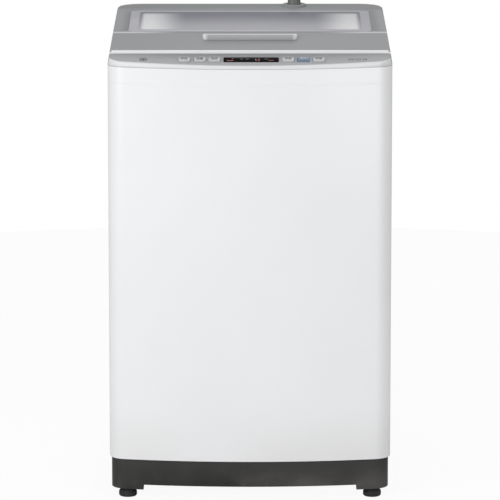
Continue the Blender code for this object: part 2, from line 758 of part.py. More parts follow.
def control_panel():
    back = CONSOLE_BACK - SEAM / 2
    panel = top_block("control_panel", GREY_PLASTIC)
    keep(panel, under_top("region", FRONT_Y - 0.01, back, 0, TOP_BASE - 0.01))
    room = inner_block("room", LID_SKIN + 0.001)
    keep(room, under_top("region", FRONT_Y - 0.01, back - SKIN, SKIN, TOP_BASE - 0.01))
    cut(panel, room)
    for x in BUTTONS_X:
        cut(panel, control_shape("hole", x, BUTTON_WIDTH, BUTTON_DEPTH, BUTTON_CLEARANCE, -0.01, 0.01))
    hole = control_shape("display_hole", DISPLAY_X, DISPLAY_WIDTH, DISPLAY_DEPTH, GAP, -0.01, 0.01)
    return cut(panel, hole)


def controls_plane():
    middle = FRONT_Y + CONTROLS_SETBACK
    return slope(middle - 0.01, middle + 0.01)


def control_shape(name, x, width, depth, grow, low, high, material=None):
    outline = rounded(width + 2 * grow, depth + 2 * grow, CONTROL_R + grow, (x, 0), steps=2)
    return moved(prism(name, outline, low, high, material), controls_plane())


def button(index, x):
    """A key that slides in its hole, with a low crown."""
    name = f"button_{index}"
    outline = rounded(BUTTON_WIDTH, BUTTON_DEPTH, CONTROL_R, (x, 0), steps=2)
    cap = prism(name, outline, -BUTTON_SINK, BUTTON_PROUD, BUTTON_PLASTIC)
    bm = bmesh.new()
    bm.from_mesh(cap.data)
    crown = [face for face in bm.faces if face.calc_center_median().z > BUTTON_PROUD - 1e-5]
    bmesh.ops.inset_region(bm, faces=crown, thickness=BUTTON_SHOULDER)
    raised = {vert for face in crown for vert in face.verts}
    bmesh.ops.translate(bm, verts=list(raised), vec=Vector((0, 0, BUTTON_CROWN)))
    bm.to_mesh(cap.data)
    bm.free()
    return moved(cap, controls_plane())


def control_board():
    """Circuit board on two posts, with a switch under each key."""
    top = -BOARD_DROP
    reach = (BUTTONS_X[-1] - BUTTONS_X[0] + BUTTON_WIDTH) / 2 + BOARD_MARGIN
    centre = (BUTTONS_X[0] + BUTTONS_X[-1]) / 2
    outline = rounded(2 * reach, BOARD_DEPTH, 0.002, (centre, 0), steps=1)
    board = prism("control_board", outline, top - BOARD_T, top, CIRCUIT_BOARD)
    switch_top = -BUTTON_SINK - BUTTON_TRAVEL - GAP
    middle = top - BOARD_T / 2
    half = SWITCH_WIDTH / 2
    bits = [block("switch", (x - half, -half, middle), (x + half, half, switch_top)) for x in BUTTONS_X]
    for x in (centre - reach + POST_MARGIN, centre + reach - POST_MARGIN):
        bits.append(cylinder("post", (x, 0), POST_R, middle, -SKIN - GAP, steps=10))
    join(board, *bits)
    return moved(board, controls_plane())


def lid_switch():
    """Senses the closed lid from under the deck."""
    wide, deep, tall = LID_SWITCH_SIZE
    x = WIDTH / 2 - LID_SWITCH_INSET
    y = HINGE_Y - LID_SWITCH_FORWARD
    top = top_z(y - deep / 2) - DECK_DROP - SKIN - GAP
    low = (x - wide / 2, y - deep / 2, top - tall)
    return block("lid_switch", low, (x + wide / 2, y + deep / 2, top), BASE_PLASTIC)


# ---------------------------------------------------------------- folding lid
def fold_z():
    return top_z(FOLD_Y) - LID_T - FOLD_DROP


def knuckle(part, index, side):
    """One knuckle of the fold hinge, on its tab; side is -1 on the front flap and 1 on the rear one."""
    length = FOLD_LENGTH / FOLD_KNUCKLES
    low = -FOLD_LENGTH / 2 + index * length + KNUCKLE_GAP / 2
    high = low + length - KNUCKLE_GAP
    near, far = FOLD_Y + side * KNUCKLE_GAP, FOLD_Y + side * FOLD_KNUCKLE_R
    top = fold_z() + FOLD_DROP + LID_SKIN / 2
    tab = block("tab", (low, min(near, far), fold_z()), (high, max(near, far), top))
    join(tab, cylinder("barrel", (FOLD_Y, fold_z()), FOLD_KNUCKLE_R, low, high, along="X", steps=12))
    join(part, tab)
    bore = FOLD_PIN_R + BORE_CLEARANCE
    return cut(part, cylinder("bore", (FOLD_Y, fold_z()), bore, low - 0.01, high + 0.01, along="X", steps=12))


def window_plane():
    return slope(FOLD_Y + WINDOW_FRONT_MARGIN, LID_REAR - WINDOW_REAR_MARGIN)


def window_shape(name, grow, low, high, material=None):
    depth = REAR_FLAP_DEPTH - WINDOW_FRONT_MARGIN - WINDOW_REAR_MARGIN
    outline = rounded(WINDOW_WIDTH + 2 * grow, depth + 2 * grow, max(WINDOW_R + grow, 0.004))
    return moved(prism(name, outline, low, high, material), window_plane())


def lid_rear_panel():
    front = FOLD_Y + SEAM / 2
    panel = top_block("lid_rear_panel", GREY_PLASTIC)
    keep(panel, top_slab("region", front, HINGE_Y, 0, LID_T))
    end = drafted("end", 0, TOP_BASE, CABINET_TOP + REAR_RISE + 0.02)
    keep(end, cylinder("round_end", (HINGE_Y, HINGE_Z), LID_T / 2, -WIDTH, WIDTH, along="X", steps=FINE))
    join(panel, end)
    room = inner_block("room", LID_SKIN)
    keep(room, top_slab("region", front + LID_SKIN, HINGE_Y - LID_T, WINDOW_T + LID_SKIN, LID_T))
    cut(panel, room)
    cut(panel, window_shape("recess", GAP, -WINDOW_T - GAP, 0.01))
    cut(panel, window_shape("opening", -WINDOW_BORDER, -0.03, 0.01))
    for x in ear_spots():
        half = HINGE_EAR_WIDTH / 2 + EAR_ROOM
        front = HINGE_Y - HINGE_KNOB_R - EAR_ROOM - 0.0015
        notch = block("notch", (x - half, front, HINGE_Z - 0.02), (x + half, HINGE_Y + 0.02, HINGE_Z + 0.02))
        reach = HINGE_PIN_LENGTH / 2 + 0.0005
        bore = cylinder(
            "bore", (HINGE_Y, HINGE_Z), HINGE_PIN_R + BORE_CLEARANCE, x - reach, x + reach, None, "X", 12
        )
        cut(panel, notch, bore)
    for index in range(0, FOLD_KNUCKLES, 2):
        knuckle(panel, index, 1)
    return panel


def lid_front_panel():
    front, back = CONSOLE_BACK + SEAM / 2, FOLD_Y - SEAM / 2
    panel = top_block("lid_front_panel", GREY_PLASTIC)
    keep(panel, top_slab("region", front, back, 0, LID_T))
    room = inner_block("room", LID_SKIN)
    keep(room, top_slab("region", front + LID_SKIN, back - LID_SKIN, LID_SKIN, LID_T))
    cut(panel, room)
    for index in range(1, FOLD_KNUCKLES, 2):
        knuckle(panel, index, -1)
    return panel


def fold_pin():
    half = FOLD_LENGTH / 2
    return cylinder("fold_pin", (FOLD_Y, fold_z()), FOLD_PIN_R, -half, half, ZINC_STEEL, "X", 12)


def lid_handle():
    """A low hood that opens towards the fold, so that fingers reach in from behind it."""
    back = FOLD_Y - HANDLE_SETBACK
    middle = back - HANDLE_DEPTH / 2
    half = HANDLE_DEPTH / 2
    profile = [
        (-half, GAP), (half, GAP), (half, HANDLE_HEIGHT),
        (-half + HANDLE_SLANT, HANDLE_HEIGHT), (-half, HANDLE_LIP),
    ]
    handle = prism("lid_handle", profile, -HANDLE_LENGTH / 2, HANDLE_LENGTH / 2, GREY_PLASTIC, "X")
    inner = HANDLE_LENGTH / 2 - HANDLE_WALL
    slot_front = -half + HANDLE_SLANT + HANDLE_WALL / 2
    slot_top = HANDLE_HEIGHT - HANDLE_WALL
    slot = [
        (slot_front, GAP - 0.01), (half + 0.01, GAP - 0.01), (half + 0.01, slot_top), (slot_front, slot_top),
    ]
    cut(handle, prism("slot", slot, -inner, inner, along="X"))
    return moved(handle, slope(middle - 0.01, middle + 0.01))


# ---------------------------------------------------------------- hung tub
def sump_spot():
    return (drain_x(), TUB_Y + SUMP_OFFSET)


def outer_tub():
    inner_r = TUB_R - TUB_WALL
    floor = TUB_BOTTOM + TUB_WALL
    profile = [
        (TUB_BEARING_R, TUB_BOTTOM), (TUB_R - 0.012, TUB_BOTTOM), (TUB_R, TUB_BOTTOM + 0.012),
        (TUB_R, TUB_TOP - 0.006), (TUB_R + TUB_RIM, TUB_TOP - 0.006), (TUB_R + TUB_RIM, TUB_TOP),
        (inner_r, TUB_TOP), (inner_r, TUB_BOTTOM + 0.013), (inner_r - 0.0105, floor),
        (TUB_BEARING_R + 0.010, floor), (TUB_BEARING_R + 0.010, TUB_BOTTOM + 0.014),
        (TUB_BEARING_R, TUB_BOTTOM + 0.014),
    ]
    tub = turned("outer_tub", profile, (0, TUB_Y), TUB_PLASTIC, ROUND)
    for x, y in rod_spots():
        reach = (TUB_R - TUB_WALL / 2, TUB_R + ROD_REACH + LUG_WIDTH / 2)
        half = LUG_WIDTH / 2
        lug = block("lug", (reach[0] - 0.003, -half, LUG_BOTTOM), (reach[1], half, LUG_BOTTOM + LUG_HEIGHT))
        bearing = math.atan2(y - TUB_Y, x)
        moved(lug, Matrix.Translation((0, TUB_Y, 0)) @ Matrix.Rotation(bearing, 4, "Z"))
        join(tub, lug)
        eye_r = ROD_R + ROD_CLEARANCE
        cut(tub, cylinder("eye", (x, y), eye_r, LUG_BOTTOM - 0.01, LUG_BOTTOM + 0.05, steps=12))
    join(tub, cylinder("port", sump_spot(), PORT_R, TUB_BOTTOM - 0.024, TUB_BOTTOM + TUB_WALL / 2))
    return cut(tub, cylinder("drain", sump_spot(), PORT_R - PORT_WALL, TUB_BOTTOM - 0.05, TUB_BOTTOM + 0.01))


def tub_ring():
    """Cover ring that narrows the tub's mouth to the basket's."""
    inner, outer = MOUTH_R + 0.004, TUB_R + TUB_RIM
    low = TUB_TOP + GAP
    profile = [
        (inner, low), (outer, low), (outer, low + TUB_WALL), (inner + TUB_WALL, low + TUB_WALL),
        (inner + TUB_WALL, low + TUB_RING_LIP), (inner, low + TUB_RING_LIP),
    ]
    return turned("tub_ring", profile, (0, TUB_Y), TUB_PLASTIC, ROUND)


def suspension_rod(name, spot):
    seat = CABINET_TOP - HANGER_DROP + HANGER_T + GAP
    cup_top = ROD_BOTTOM + 0.004
    profile = [
        (0, ROD_BOTTOM), (SPRING_R + 0.004, ROD_BOTTOM), (SPRING_R + 0.004, cup_top), (ROD_R, cup_top),
        (ROD_R, seat), (0.010, seat), (0.010, seat + 0.004), (0.006, seat + 0.009), (0, seat + 0.009),
    ]
    return turned(name, profile, spot, ZINC_STEEL, 10, closed=False)


def suspension_spring(name, spot):
    """Coil between the rod's lower cup and the tub's lug."""
    low = ROD_BOTTOM + 0.004 + GAP + SPRING_WIRE_R
    high = LUG_BOTTOM - GAP - SPRING_WIRE_R
    steps = SPRING_TURNS * SPRING_STEPS
    curve = bpy.data.curves.new(name, "CURVE")
    curve.dimensions = "3D"
    curve.bevel_depth = SPRING_WIRE_R
    curve.bevel_resolution = 0
    curve.use_fill_caps = True
    spline = curve.splines.new("POLY")
    spline.points.add(steps)
    for i, point in enumerate(spline.points):
        turn = 2 * math.pi * i / SPRING_STEPS
        x, y = spot[0] + SPRING_R * math.cos(turn), spot[1] + SPRING_R * math.sin(turn)
        point.co = (x, y, low + (high - low) * i / steps, 1)
    obj = bpy.data.objects.new(name, curve)
    bpy.context.scene.collection.objects.link(obj)
    curve.materials.append(ZINC_STEEL)
    return obj


# ---------------------------------------------------------------- basket and pulsator
def basket():
    low = BASKET_FLOOR + GAP
    inner = BASKET_R - BASKET_WALL
    foot_r = BASKET_R - 0.026
    profile = [
        (foot_r, low), (BASKET_R, low), (BASKET_R, BASKET_TOP), (inner, BASKET_TOP),
        (inner, low + BASKET_WALL), (foot_r, low + BASKET_WALL),
    ]
    return turned("basket", profile, (0, TUB_Y), STAINLESS, ROUND)


def basket_base():
    """Flanged hub that carries the basket on the spin shaft."""
    bore = SPIN_SHAFT_R + SHAFT_CLEARANCE
    profile = [
        (bore, BASKET_FLOOR - 0.018), (0.042, BASKET_FLOOR - 0.018), (0.046, BASKET_FLOOR - 0.010),
        (BASKET_R - 0.002, BASKET_FLOOR - 0.010), (BASKET_R - 0.002, BASKET_FLOOR), (bore, BASKET_FLOOR),
    ]
    return turned("basket_base", profile, (0, TUB_Y), MOTOR_ALLOY, ROUND)


def balance_ring():
    low = BASKET_TOP + GAP
    top = low + BALANCE_HEIGHT
    outer = MOUTH_R + BALANCE_WIDTH
    profile = [
        (MOUTH_R, low + 0.008), (MOUTH_R + 0.012, low), (outer, low), (outer, top - 0.008),
        (outer - 0.008, top), (MOUTH_R + 0.008, top), (MOUTH_R, top - 0.010),
    ]
    return turned("balance_ring", profile, (0, TUB_Y), TUB_PLASTIC, ROUND)


def spin_shaft():
    low = TUB_BOTTOM - BRACKET_T - 0.022
    bore = WASH_SHAFT_R + SHAFT_CLEARANCE
    profile = [(bore, low), (SPIN_SHAFT_R, low), (SPIN_SHAFT_R, BASKET_FLOOR), (bore, BASKET_FLOOR)]
    return turned("spin_shaft", profile, (0, TUB_Y), ZINC_STEEL, 18)


def wash_shaft():
    low = CLUTCH_BOTTOM + WASH_SHAFT_RISE
    top = pulsator_low() + PULSATOR_T + 0.008
    return cylinder("wash_shaft", (0, TUB_Y), WASH_SHAFT_R, low, top, ZINC_STEEL)


def pulsator_low():
    return BASKET_FLOOR + BASKET_WALL + 0.0025


def pulsator():
    low = pulsator_low()
    deck = low + PULSATOR_T
    bore = WASH_SHAFT_R + GAP
    profile = [
        (bore, low), (PULSATOR_R - 0.004, low), (PULSATOR_R, low + 0.004), (PULSATOR_R - 0.006, deck),
        (0.050, deck), (0.030, deck + PULSATOR_HUB), (bore, deck + PULSATOR_HUB),
    ]
    disc = turned("pulsator", profile, (0, TUB_Y), TUB_PLASTIC, 28)
    for i in range(PULSATOR_VANES):
        height = deck + VANE_HEIGHT
        ramp = [
            (0.024, deck - 0.002), (PULSATOR_R - 0.012, deck - 0.002),
            (PULSATOR_R - 0.020, deck + 0.010), (0.030, height),
        ]
        vane = prism("vane", ramp, -VANE_WIDTH / 2, VANE_WIDTH / 2, along="X")
        turn = Matrix.Rotation(2 * math.pi * (i + 0.5) / PULSATOR_VANES, 4, "Z")
        join(disc, moved(vane, Matrix.Translation((0, TUB_Y, 0)) @ turn))
    return disc


def pulsator_screw():
    """Headed screw that holds the pulsator down on its shaft."""
    low = pulsator_low() + PULSATOR_T + PULSATOR_HUB + GAP
    return turned(
        "pulsator_screw",
        [(0, low), (0.010, low), (0.010, low + 0.004), (0.007, low + 0.006), (0, low + 0.006)],
        (0, TUB_Y), STAINLESS, 12, closed=False,
    )


def filter_box(name, y0, y1, half, low, high, material=None):
    """A block against the rear of the basket, rounded to the basket's wall."""
    obj = block(name, (-half, TUB_Y + y0, low), (half, TUB_Y + y1, high), material)
    inner = BASKET_R - BASKET_WALL - 0.0005
    return keep(obj, cylinder("wall", (0, TUB_Y), inner, low - 0.01, high + 0.01, steps=ROUND))


def lint_hinge():
    return (TUB_Y + BASKET_R - LINT_HINGE_INSET, BASKET_FLOOR + LINT_HINGE_RISE)


def lint_channel():
    """Guide on the basket's wall that the lint filter folds into."""
    y, z = lint_hinge()
    near = BASKET_R - LINT_HINGE_INSET - LINT_T / 2
    sweep = math.hypot(LINT_T / 2, LINT_TAIL) + LINT_ROOM
    half = LINT_WIDTH / 2 + LINT_ROOM
    low, high = z - sweep - LINT_GUIDE_FLOOR, z + LINT_HEIGHT + 0.012
    channel = filter_box("lint_channel", near, BASKET_R, half + LINT_GUIDE_WALL, low, high, TUB_PLASTIC)
    back = y + LINT_T / 2 + LINT_ROOM + 0.0025
    cut(channel, block("room", (-half, 0, z - sweep), (half, back, high + 0.01)))
    inner, outer = half - 0.0045, half + 0.0015
    pins = [
        cylinder("pin", (y, z), LINT_PIN_R, *sorted((side * inner, side * outer)), along="X", steps=10)
        for side in (-1, 1)
    ]
    return join(channel, *pins)


def lint_filter():
    y, z = lint_hinge()
    half = LINT_WIDTH / 2
    near, far = y - LINT_T / 2, y + LINT_T / 2
    body = block("lint_filter", (-half, near, z - LINT_TAIL), (half, far, z + LINT_HEIGHT), BUTTON_PLASTIC)
    rim = half - 0.0065
    cut(body, block("pocket", (-rim, near + 0.0015, z + 0.012), (rim, far + 0.01, z + LINT_HEIGHT - 0.008)))
    for side in (-1, 1):
        ends = sorted((side * (half - 0.0045), side * (half + 0.0015)))
        cut(body, cylinder("bore", (y, z), LINT_PIN_R + 0.0005, *ends, along="X", steps=10))
    return body


# ---------------------------------------------------------------- drive
def bracket_top():
    return TUB_BOTTOM - GAP


def drive_bracket():
    top = bracket_top()
    low = top - BRACKET_T
    depth = BRACKET_HALF_DEPTH
    corner = (-BRACKET_LEFT, TUB_Y - depth, low - BRACKET_FLANGE)
    plate = block("drive_bracket", corner, (BRACKET_RIGHT, TUB_Y + depth, top), ZINC_STEEL)
    inner = depth - 0.003
    cut(plate, block("room", (-WIDTH, TUB_Y - inner, low - 0.05), (WIDTH, TUB_Y + inner, low)))
    return cut(plate, cylinder("hole", (0, TUB_Y), SPIN_SHAFT_R + 0.006, low - 0.05, top + 0.05))


def clutch_housing():
    """Gearbox and brake case; the gears inside it are left out."""
    top = bracket_top() - BRACKET_T - GAP
    small = WASH_SHAFT_R + SHAFT_CLEARANCE
    large = SPIN_SHAFT_R + SHAFT_CLEARANCE
    profile = [
        (small, CLUTCH_BOTTOM), (CLUTCH_R - 0.005, CLUTCH_BOTTOM), (CLUTCH_R, CLUTCH_BOTTOM + 0.005),
        (CLUTCH_R, top - 0.014), (CLUTCH_R + 0.018, top - 0.010), (CLUTCH_R + 0.018, top), (large, top),
        (large, top - 0.026), (small, top - 0.026), (small, top - 0.036), (CLUTCH_R - 0.010, top - 0.036),
        (CLUTCH_R - 0.010, CLUTCH_BOTTOM + 0.024), (small, CLUTCH_BOTTOM + 0.024),
    ]
    return turned("clutch_housing", profile, (0, TUB_Y), MOTOR_ALLOY, 20)


def motor_body():
    low, top = MOTOR_BOTTOM, bracket_top() - BRACKET_T - GAP
    bore = WASH_SHAFT_R + SHAFT_CLEARANCE
    profile = [
        (0, top), (MOTOR_R * 0.9, top), (MOTOR_R * 0.9, top - 0.014), (MOTOR_R, top - 0.020),
        (MOTOR_R, low + 0.030), (MOTOR_R * 0.9, low + 0.018), (MOTOR_R * 0.5, low + 0.010),
        (0.018, low + 0.010), (0.018, low), (bore, low), (bore, low + 0.030), (0, low + 0.030),
    ]
    return turned("motor_body", profile, (MOTOR_X, TUB_Y), MOTOR_ALLOY, 20, closed=False)


def pulley(name, centre, radius, shaft_top, steps):
    """Belt wheel with its shaft stub."""
    low, high = BELT_Z - BELT_HEIGHT / 2, BELT_Z + BELT_HEIGHT / 2
    rim = radius + PULLEY_FLANGE
    room = 0.0005
    bottom, top = low - PULLEY_CHEEK, high + PULLEY_CHEEK
    profile = [
        (0, bottom), (rim, bottom), (rim, low - room), (radius, low - room), (radius, high + room),
        (rim, high + room), (rim, top), (WASH_SHAFT_R, top), (WASH_SHAFT_R, shaft_top), (0, shaft_top),
    ]
    return turned(name, profile, centre, ZINC_STEEL, steps, closed=False)


def belt_outline(grow):
    """Two half-wraps round the pulleys, joined by the straight runs."""
    lean = math.acos((CLUTCH_PULLEY_R - MOTOR_PULLEY_R) / MOTOR_X)
    small = arc((MOTOR_X, TUB_Y), MOTOR_PULLEY_R + grow, -lean, lean, 10)
    large = arc((0, TUB_Y), CLUTCH_PULLEY_R + grow, lean, 2 * math.pi - lean, 28)
    return small + large


def drive_belt():
    low, high = BELT_Z - BELT_HEIGHT / 2, BELT_Z + BELT_HEIGHT / 2
    outer = prism("drive_belt", belt_outline(BELT_CLEARANCE + BELT_T), low, high, DARK_RUBBER)
    return cut(outer, prism("inside", belt_outline(BELT_CLEARANCE), low - 0.01, high + 0.01))


# ---------------------------------------------------------------- drain
def drain_pump():
    spot = sump_spot()
    low = BASE_FLOOR_Z + BASE_FLOOR_T + GAP
    wall = PUMP_WALL
    motor_r = PUMP_R - 0.006
    chamber = PUMP_R - wall
    port = PORT_R - PORT_WALL
    profile = [
        (0, low), (motor_r, low), (motor_r, PUMP_DECK - wall), (PUMP_R, PUMP_DECK - wall), (PUMP_R, PUMP_TOP),
        (PORT_R, PUMP_TOP), (PORT_R, PUMP_INLET_TOP), (port, PUMP_INLET_TOP), (port, PUMP_TOP - wall),
        (chamber, PUMP_TOP - wall), (chamber, PUMP_DECK), (0, PUMP_DECK),
    ]
    pump = turned("drain_pump", profile, spot, TUB_PLASTIC, 18, closed=False)
    start, end = spot[1] + PUMP_R - 0.002, spot[1] + PUMP_R + 0.020
    join(pump, across("outlet", (spot[0], PUMP_OUTLET_Z), HOSE_R, start, end))
    return cut(pump, across("bore", (spot[0], PUMP_OUTLET_Z), HOSE_R - 0.003, spot[1] + 0.010, end + 0.01))


def pump_impeller():
    spot = sump_spot()
    low = PUMP_DECK + 0.0005
    disc_top, hub_top = low + 0.003, low + 0.018
    profile = [
        (0, low), (IMPELLER_R, low), (IMPELLER_R, disc_top),
        (0.008, disc_top), (0.005, hub_top), (0, hub_top),
    ]
    wheel = turned("pump_impeller", profile, spot, BASE_PLASTIC, 16, closed=False)
    reach = IMPELLER_R - 0.001
    for angle in (0, math.pi / 2):
        vane = block("vane", (-reach, -0.001, low + 0.001), (reach, 0.001, low + 0.014))
        join(wheel, moved(vane, Matrix.Translation((*spot, 0)) @ Matrix.Rotation(angle, 4, "Z")))
    return wheel


def sleeve(name, low, high, inner, wall, material):
    """A plain hose along Z, round the origin."""
    outer = inner + wall
    return turned(name, [(inner, low), (outer, low), (outer, high), (inner, high)], (0, 0), material, 16)


def drain_bellows():
    """Rubber bellows from the tub's port down to the pump; it shortens as the tub bounces."""
    low, high = PUMP_INLET_TOP - 0.014, TUB_BOTTOM - 0.008
    folds = 5
    inner = PORT_R + HOSE_FIT
    pitch = (high - low) / folds
    outside = []
    for i in range(folds):
        outside += [(inner + 0.003, low + pitch * i), (inner + 0.008, low + pitch * (i + 0.5))]
    profile = [(inner, low), *outside, (inner + 0.003, high), (inner, high)]
    return turned("drain_bellows", profile, sump_spot(), DARK_RUBBER, 18)


def drain_hose():
    spot = sump_spot()
    start, end = spot[1] + PUMP_R + 0.002, CABINET_REAR - 0.005
    hose = sleeve("drain_hose", -end, -start, HOSE_R + HOSE_FIT, HOSE_WALL, DARK_RUBBER)
    return moved(hose, Matrix.Translation((spot[0], 0, PUMP_OUTLET_Z)) @ Matrix.Rotation(math.pi / 2, 4, "X"))


def drain_outlet():
    """Stub on the rear panel that the house drain hose pushes onto."""
    centre = (drain_x(), PUMP_OUTLET_Z)
    outside = CABINET_REAR + 2 * GAP + SHEET
    stub = across("drain_outlet", centre, HOSE_R, CABINET_REAR - 0.022, REAR_Y - 0.0005, BASE_PLASTIC)
    join(stub, across("flange", centre, HOSE_R + OUTLET_COLLAR, outside, outside + 0.003))
    return cut(stub, across("bore", centre, HOSE_R - 0.004, CABINET_REAR - 0.05, REAR_Y + 0.05))


# ---------------------------------------------------------------- the whole machine
def build():
    cabinet_shell()
    rear_panel()
    power_cord_gland()
    base_frame()
    for place, spot in foot_spots().items():
        piece = foot(f"foot_{place}", spot)
        if place.startswith("front"):
            pivot(f"foot_{place}_slide", (*spot, 0), piece)
    top_cover()
    rear_housing()
    control_panel()
    control_shape("display_window", DISPLAY_X, DISPLAY_WIDTH, DISPLAY_DEPTH, 0, -0.0022, -0.0002, BLACK_GLOSS)
    control_board()
    lid_switch()
    inlet_valve()
    dispenser_housing()
    pivot("drawer_slide", (DRAWER_X, throat_rear(), drawer_floor()), detergent_drawer())
    for index, x in enumerate(BUTTONS_X, start=1):
        place = controls_plane() @ Vector((x, 0, 0))
        pivot(f"button_{index}_slide", place, button(index, x))
    for place, x in zip(("left", "right"), ear_spots()):
        hinge_pin(f"hinge_pin_{place}", x)
    hinge = pivot(
        "lid_hinge", (0, HINGE_Y, HINGE_Z), lid_rear_panel(),
        window_shape("lid_window", 0, -WINDOW_T, 0, CLEAR_PANE), fold_pin(),
    )
    fold = pivot("lid_fold", (0, FOLD_Y, fold_z()), lid_front_panel(), lid_handle())
    fold.parent = hinge
    fold.matrix_parent_inverse = Matrix.Translation((0, HINGE_Y, HINGE_Z)).inverted()
    for spot, place in zip(rod_spots(), ("front_left", "front_right", "rear_left", "rear_right")):
        suspension_rod(f"rod_{place}", spot)
        suspension_spring(f"spring_{place}", spot)
    drain_pump()
    drain_hose()
    drain_outlet()
    drain_bellows()
    pivot("pump_spin", (*sump_spot(), PUMP_DECK), pump_impeller())
    tub_ring()
    outer_tub()
    drive_bracket()
    clutch_housing()
    motor_body()
    drive_belt()
    axle = (0, TUB_Y, BELT_Z)
    large = pulley("clutch_pulley", (0, TUB_Y), CLUTCH_PULLEY_R, CLUTCH_BOTTOM + 0.040, 28)
    pivot("pulley_spin", axle, large)
    small = pulley("motor_pulley", (MOTOR_X, TUB_Y), MOTOR_PULLEY_R, MOTOR_BOTTOM + 0.028, 18)
    pivot("motor_spin", (MOTOR_X, TUB_Y, BELT_Z), small)
    pivot("basket_spin", axle, basket(), basket_base(), balance_ring(), spin_shaft(), lint_channel())
    pivot("lint_hinge", (0, *lint_hinge()), lint_filter())
    pivot("pulsator_spin", axle, pulsator(), wash_shaft(), pulsator_screw())


build()
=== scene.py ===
# %% [markdown]
# # A top-load washing machine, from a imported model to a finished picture
#
# The machine's shapes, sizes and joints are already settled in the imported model. This lesson
# gives it its looks: a smooth bowed cabinet, round edges, trims, domed keys, a display, a
# perforated drum, and a procedural finish on every surface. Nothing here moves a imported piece.

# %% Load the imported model
import json
import math

import bmesh
import bpy
from mathutils import Matrix, Vector
from mathutils.bvhtree import BVHTree

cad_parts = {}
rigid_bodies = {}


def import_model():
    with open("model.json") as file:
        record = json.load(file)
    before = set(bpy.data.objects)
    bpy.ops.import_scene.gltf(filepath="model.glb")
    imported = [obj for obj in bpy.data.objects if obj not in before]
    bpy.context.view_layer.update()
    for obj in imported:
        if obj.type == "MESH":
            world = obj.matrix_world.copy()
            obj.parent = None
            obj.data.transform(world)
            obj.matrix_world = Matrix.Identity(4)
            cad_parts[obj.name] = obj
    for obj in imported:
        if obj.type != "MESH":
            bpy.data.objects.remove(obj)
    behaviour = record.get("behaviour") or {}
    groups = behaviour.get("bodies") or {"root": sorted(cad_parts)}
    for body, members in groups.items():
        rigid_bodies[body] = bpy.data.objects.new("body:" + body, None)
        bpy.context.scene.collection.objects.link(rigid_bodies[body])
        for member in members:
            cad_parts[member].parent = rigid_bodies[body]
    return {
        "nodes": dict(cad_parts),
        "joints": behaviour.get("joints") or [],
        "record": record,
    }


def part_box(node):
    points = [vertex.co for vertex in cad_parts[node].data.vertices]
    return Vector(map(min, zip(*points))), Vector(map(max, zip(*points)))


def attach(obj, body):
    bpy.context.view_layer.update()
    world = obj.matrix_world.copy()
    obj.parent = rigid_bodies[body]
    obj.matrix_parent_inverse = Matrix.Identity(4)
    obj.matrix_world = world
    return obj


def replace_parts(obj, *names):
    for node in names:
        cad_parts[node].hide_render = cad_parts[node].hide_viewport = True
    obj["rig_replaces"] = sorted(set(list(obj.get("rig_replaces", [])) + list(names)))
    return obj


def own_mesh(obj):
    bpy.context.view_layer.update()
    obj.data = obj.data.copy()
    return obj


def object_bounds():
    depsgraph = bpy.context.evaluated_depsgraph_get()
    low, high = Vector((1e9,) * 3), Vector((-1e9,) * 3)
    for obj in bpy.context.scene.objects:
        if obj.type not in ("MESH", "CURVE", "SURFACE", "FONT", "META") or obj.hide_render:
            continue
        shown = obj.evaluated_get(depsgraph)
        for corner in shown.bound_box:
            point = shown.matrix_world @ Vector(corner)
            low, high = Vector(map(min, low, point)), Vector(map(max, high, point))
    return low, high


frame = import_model()
NODES = frame["nodes"]
cad_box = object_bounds()
SLOT_OF = {part["node"]: part["material_slot"] for part in frame["record"]["subparts"]}
BODY_OF = {node: body for body, nodes in frame["record"]["behaviour"]["bodies"].items() for node in nodes}
JOINTS = {joint["name"]: joint for joint in frame["joints"]}
print("packed pieces:", len(NODES), "box:", [tuple(round(v, 4) for v in corner) for corner in cad_box])

# %% [markdown]
# ## The camera
#
# A product picture of a tall appliance is taken from far away with a long lens, a little above
# the lid, so that the front stays upright and the top still shows. The camera looks straight
# along +Y and tilts down. Shifting the lens could do the same, but a plain tilt also suits the
# views from other sides.

# %% Camera
CAMERA_DISTANCE = 9.12
CAMERA_HEIGHT = 2.271
CAMERA_TILT = math.radians(11.27)
CAMERA_LENS = 329.55

camera_data = bpy.data.cameras.new("camera")
camera_data.lens = CAMERA_LENS
camera_data.sensor_width = 36
camera_data.clip_end = 60
camera = bpy.data.objects.new("camera", camera_data)
camera.location = (0, -CAMERA_DISTANCE, CAMERA_HEIGHT)
camera.rotation_euler = (math.pi / 2 - CAMERA_TILT, 0, 0)
bpy.context.scene.collection.objects.link(camera)
bpy.context.scene.camera = camera
print("camera lens:", camera_data.lens)

# %% [markdown]
# ## Light
#
# White enamel needs soft, even light: one broad panel in front and to the left, a weaker one to
# the right, one over the lid and one behind for the other views, in a pale world. The backdrop
# is the world itself, which looks white to the camera and through the pane but lights the
# machine only gently, so that the enamel keeps its own colour instead of clipping.

# %% Lamps
def soft_panel(name, location, size, power, aim=(0, 0, 0.5)):
    """A square area lamp that looks at a point."""
    data = bpy.data.lights.new(name, "AREA")
    data.shape = "SQUARE"
    data.size = size
    data.energy = power
    lamp = bpy.data.objects.new(name, data)
    lamp.location = location
    lamp.rotation_euler = (Vector(aim) - Vector(location)).to_track_quat("-Z", "Y").to_euler()
    bpy.context.scene.collection.objects.link(lamp)
    return lamp


LAMPS = (
    soft_panel("key_panel", (-2.9, -3.1, 2.2), 2.2, 86),
    soft_panel("fill_panel", (2.4, -3.6, 1.6), 2.4, 44),
    soft_panel("over_panel", (0.0, 0.6, 3.6), 2.2, 8),
    soft_panel("behind_panel", (0.6, 3.4, 3.4), 2.4, 24),
)
print("lamps:", [lamp.name for lamp in LAMPS])

# %% World
WORLD_LIGHT = 0.42

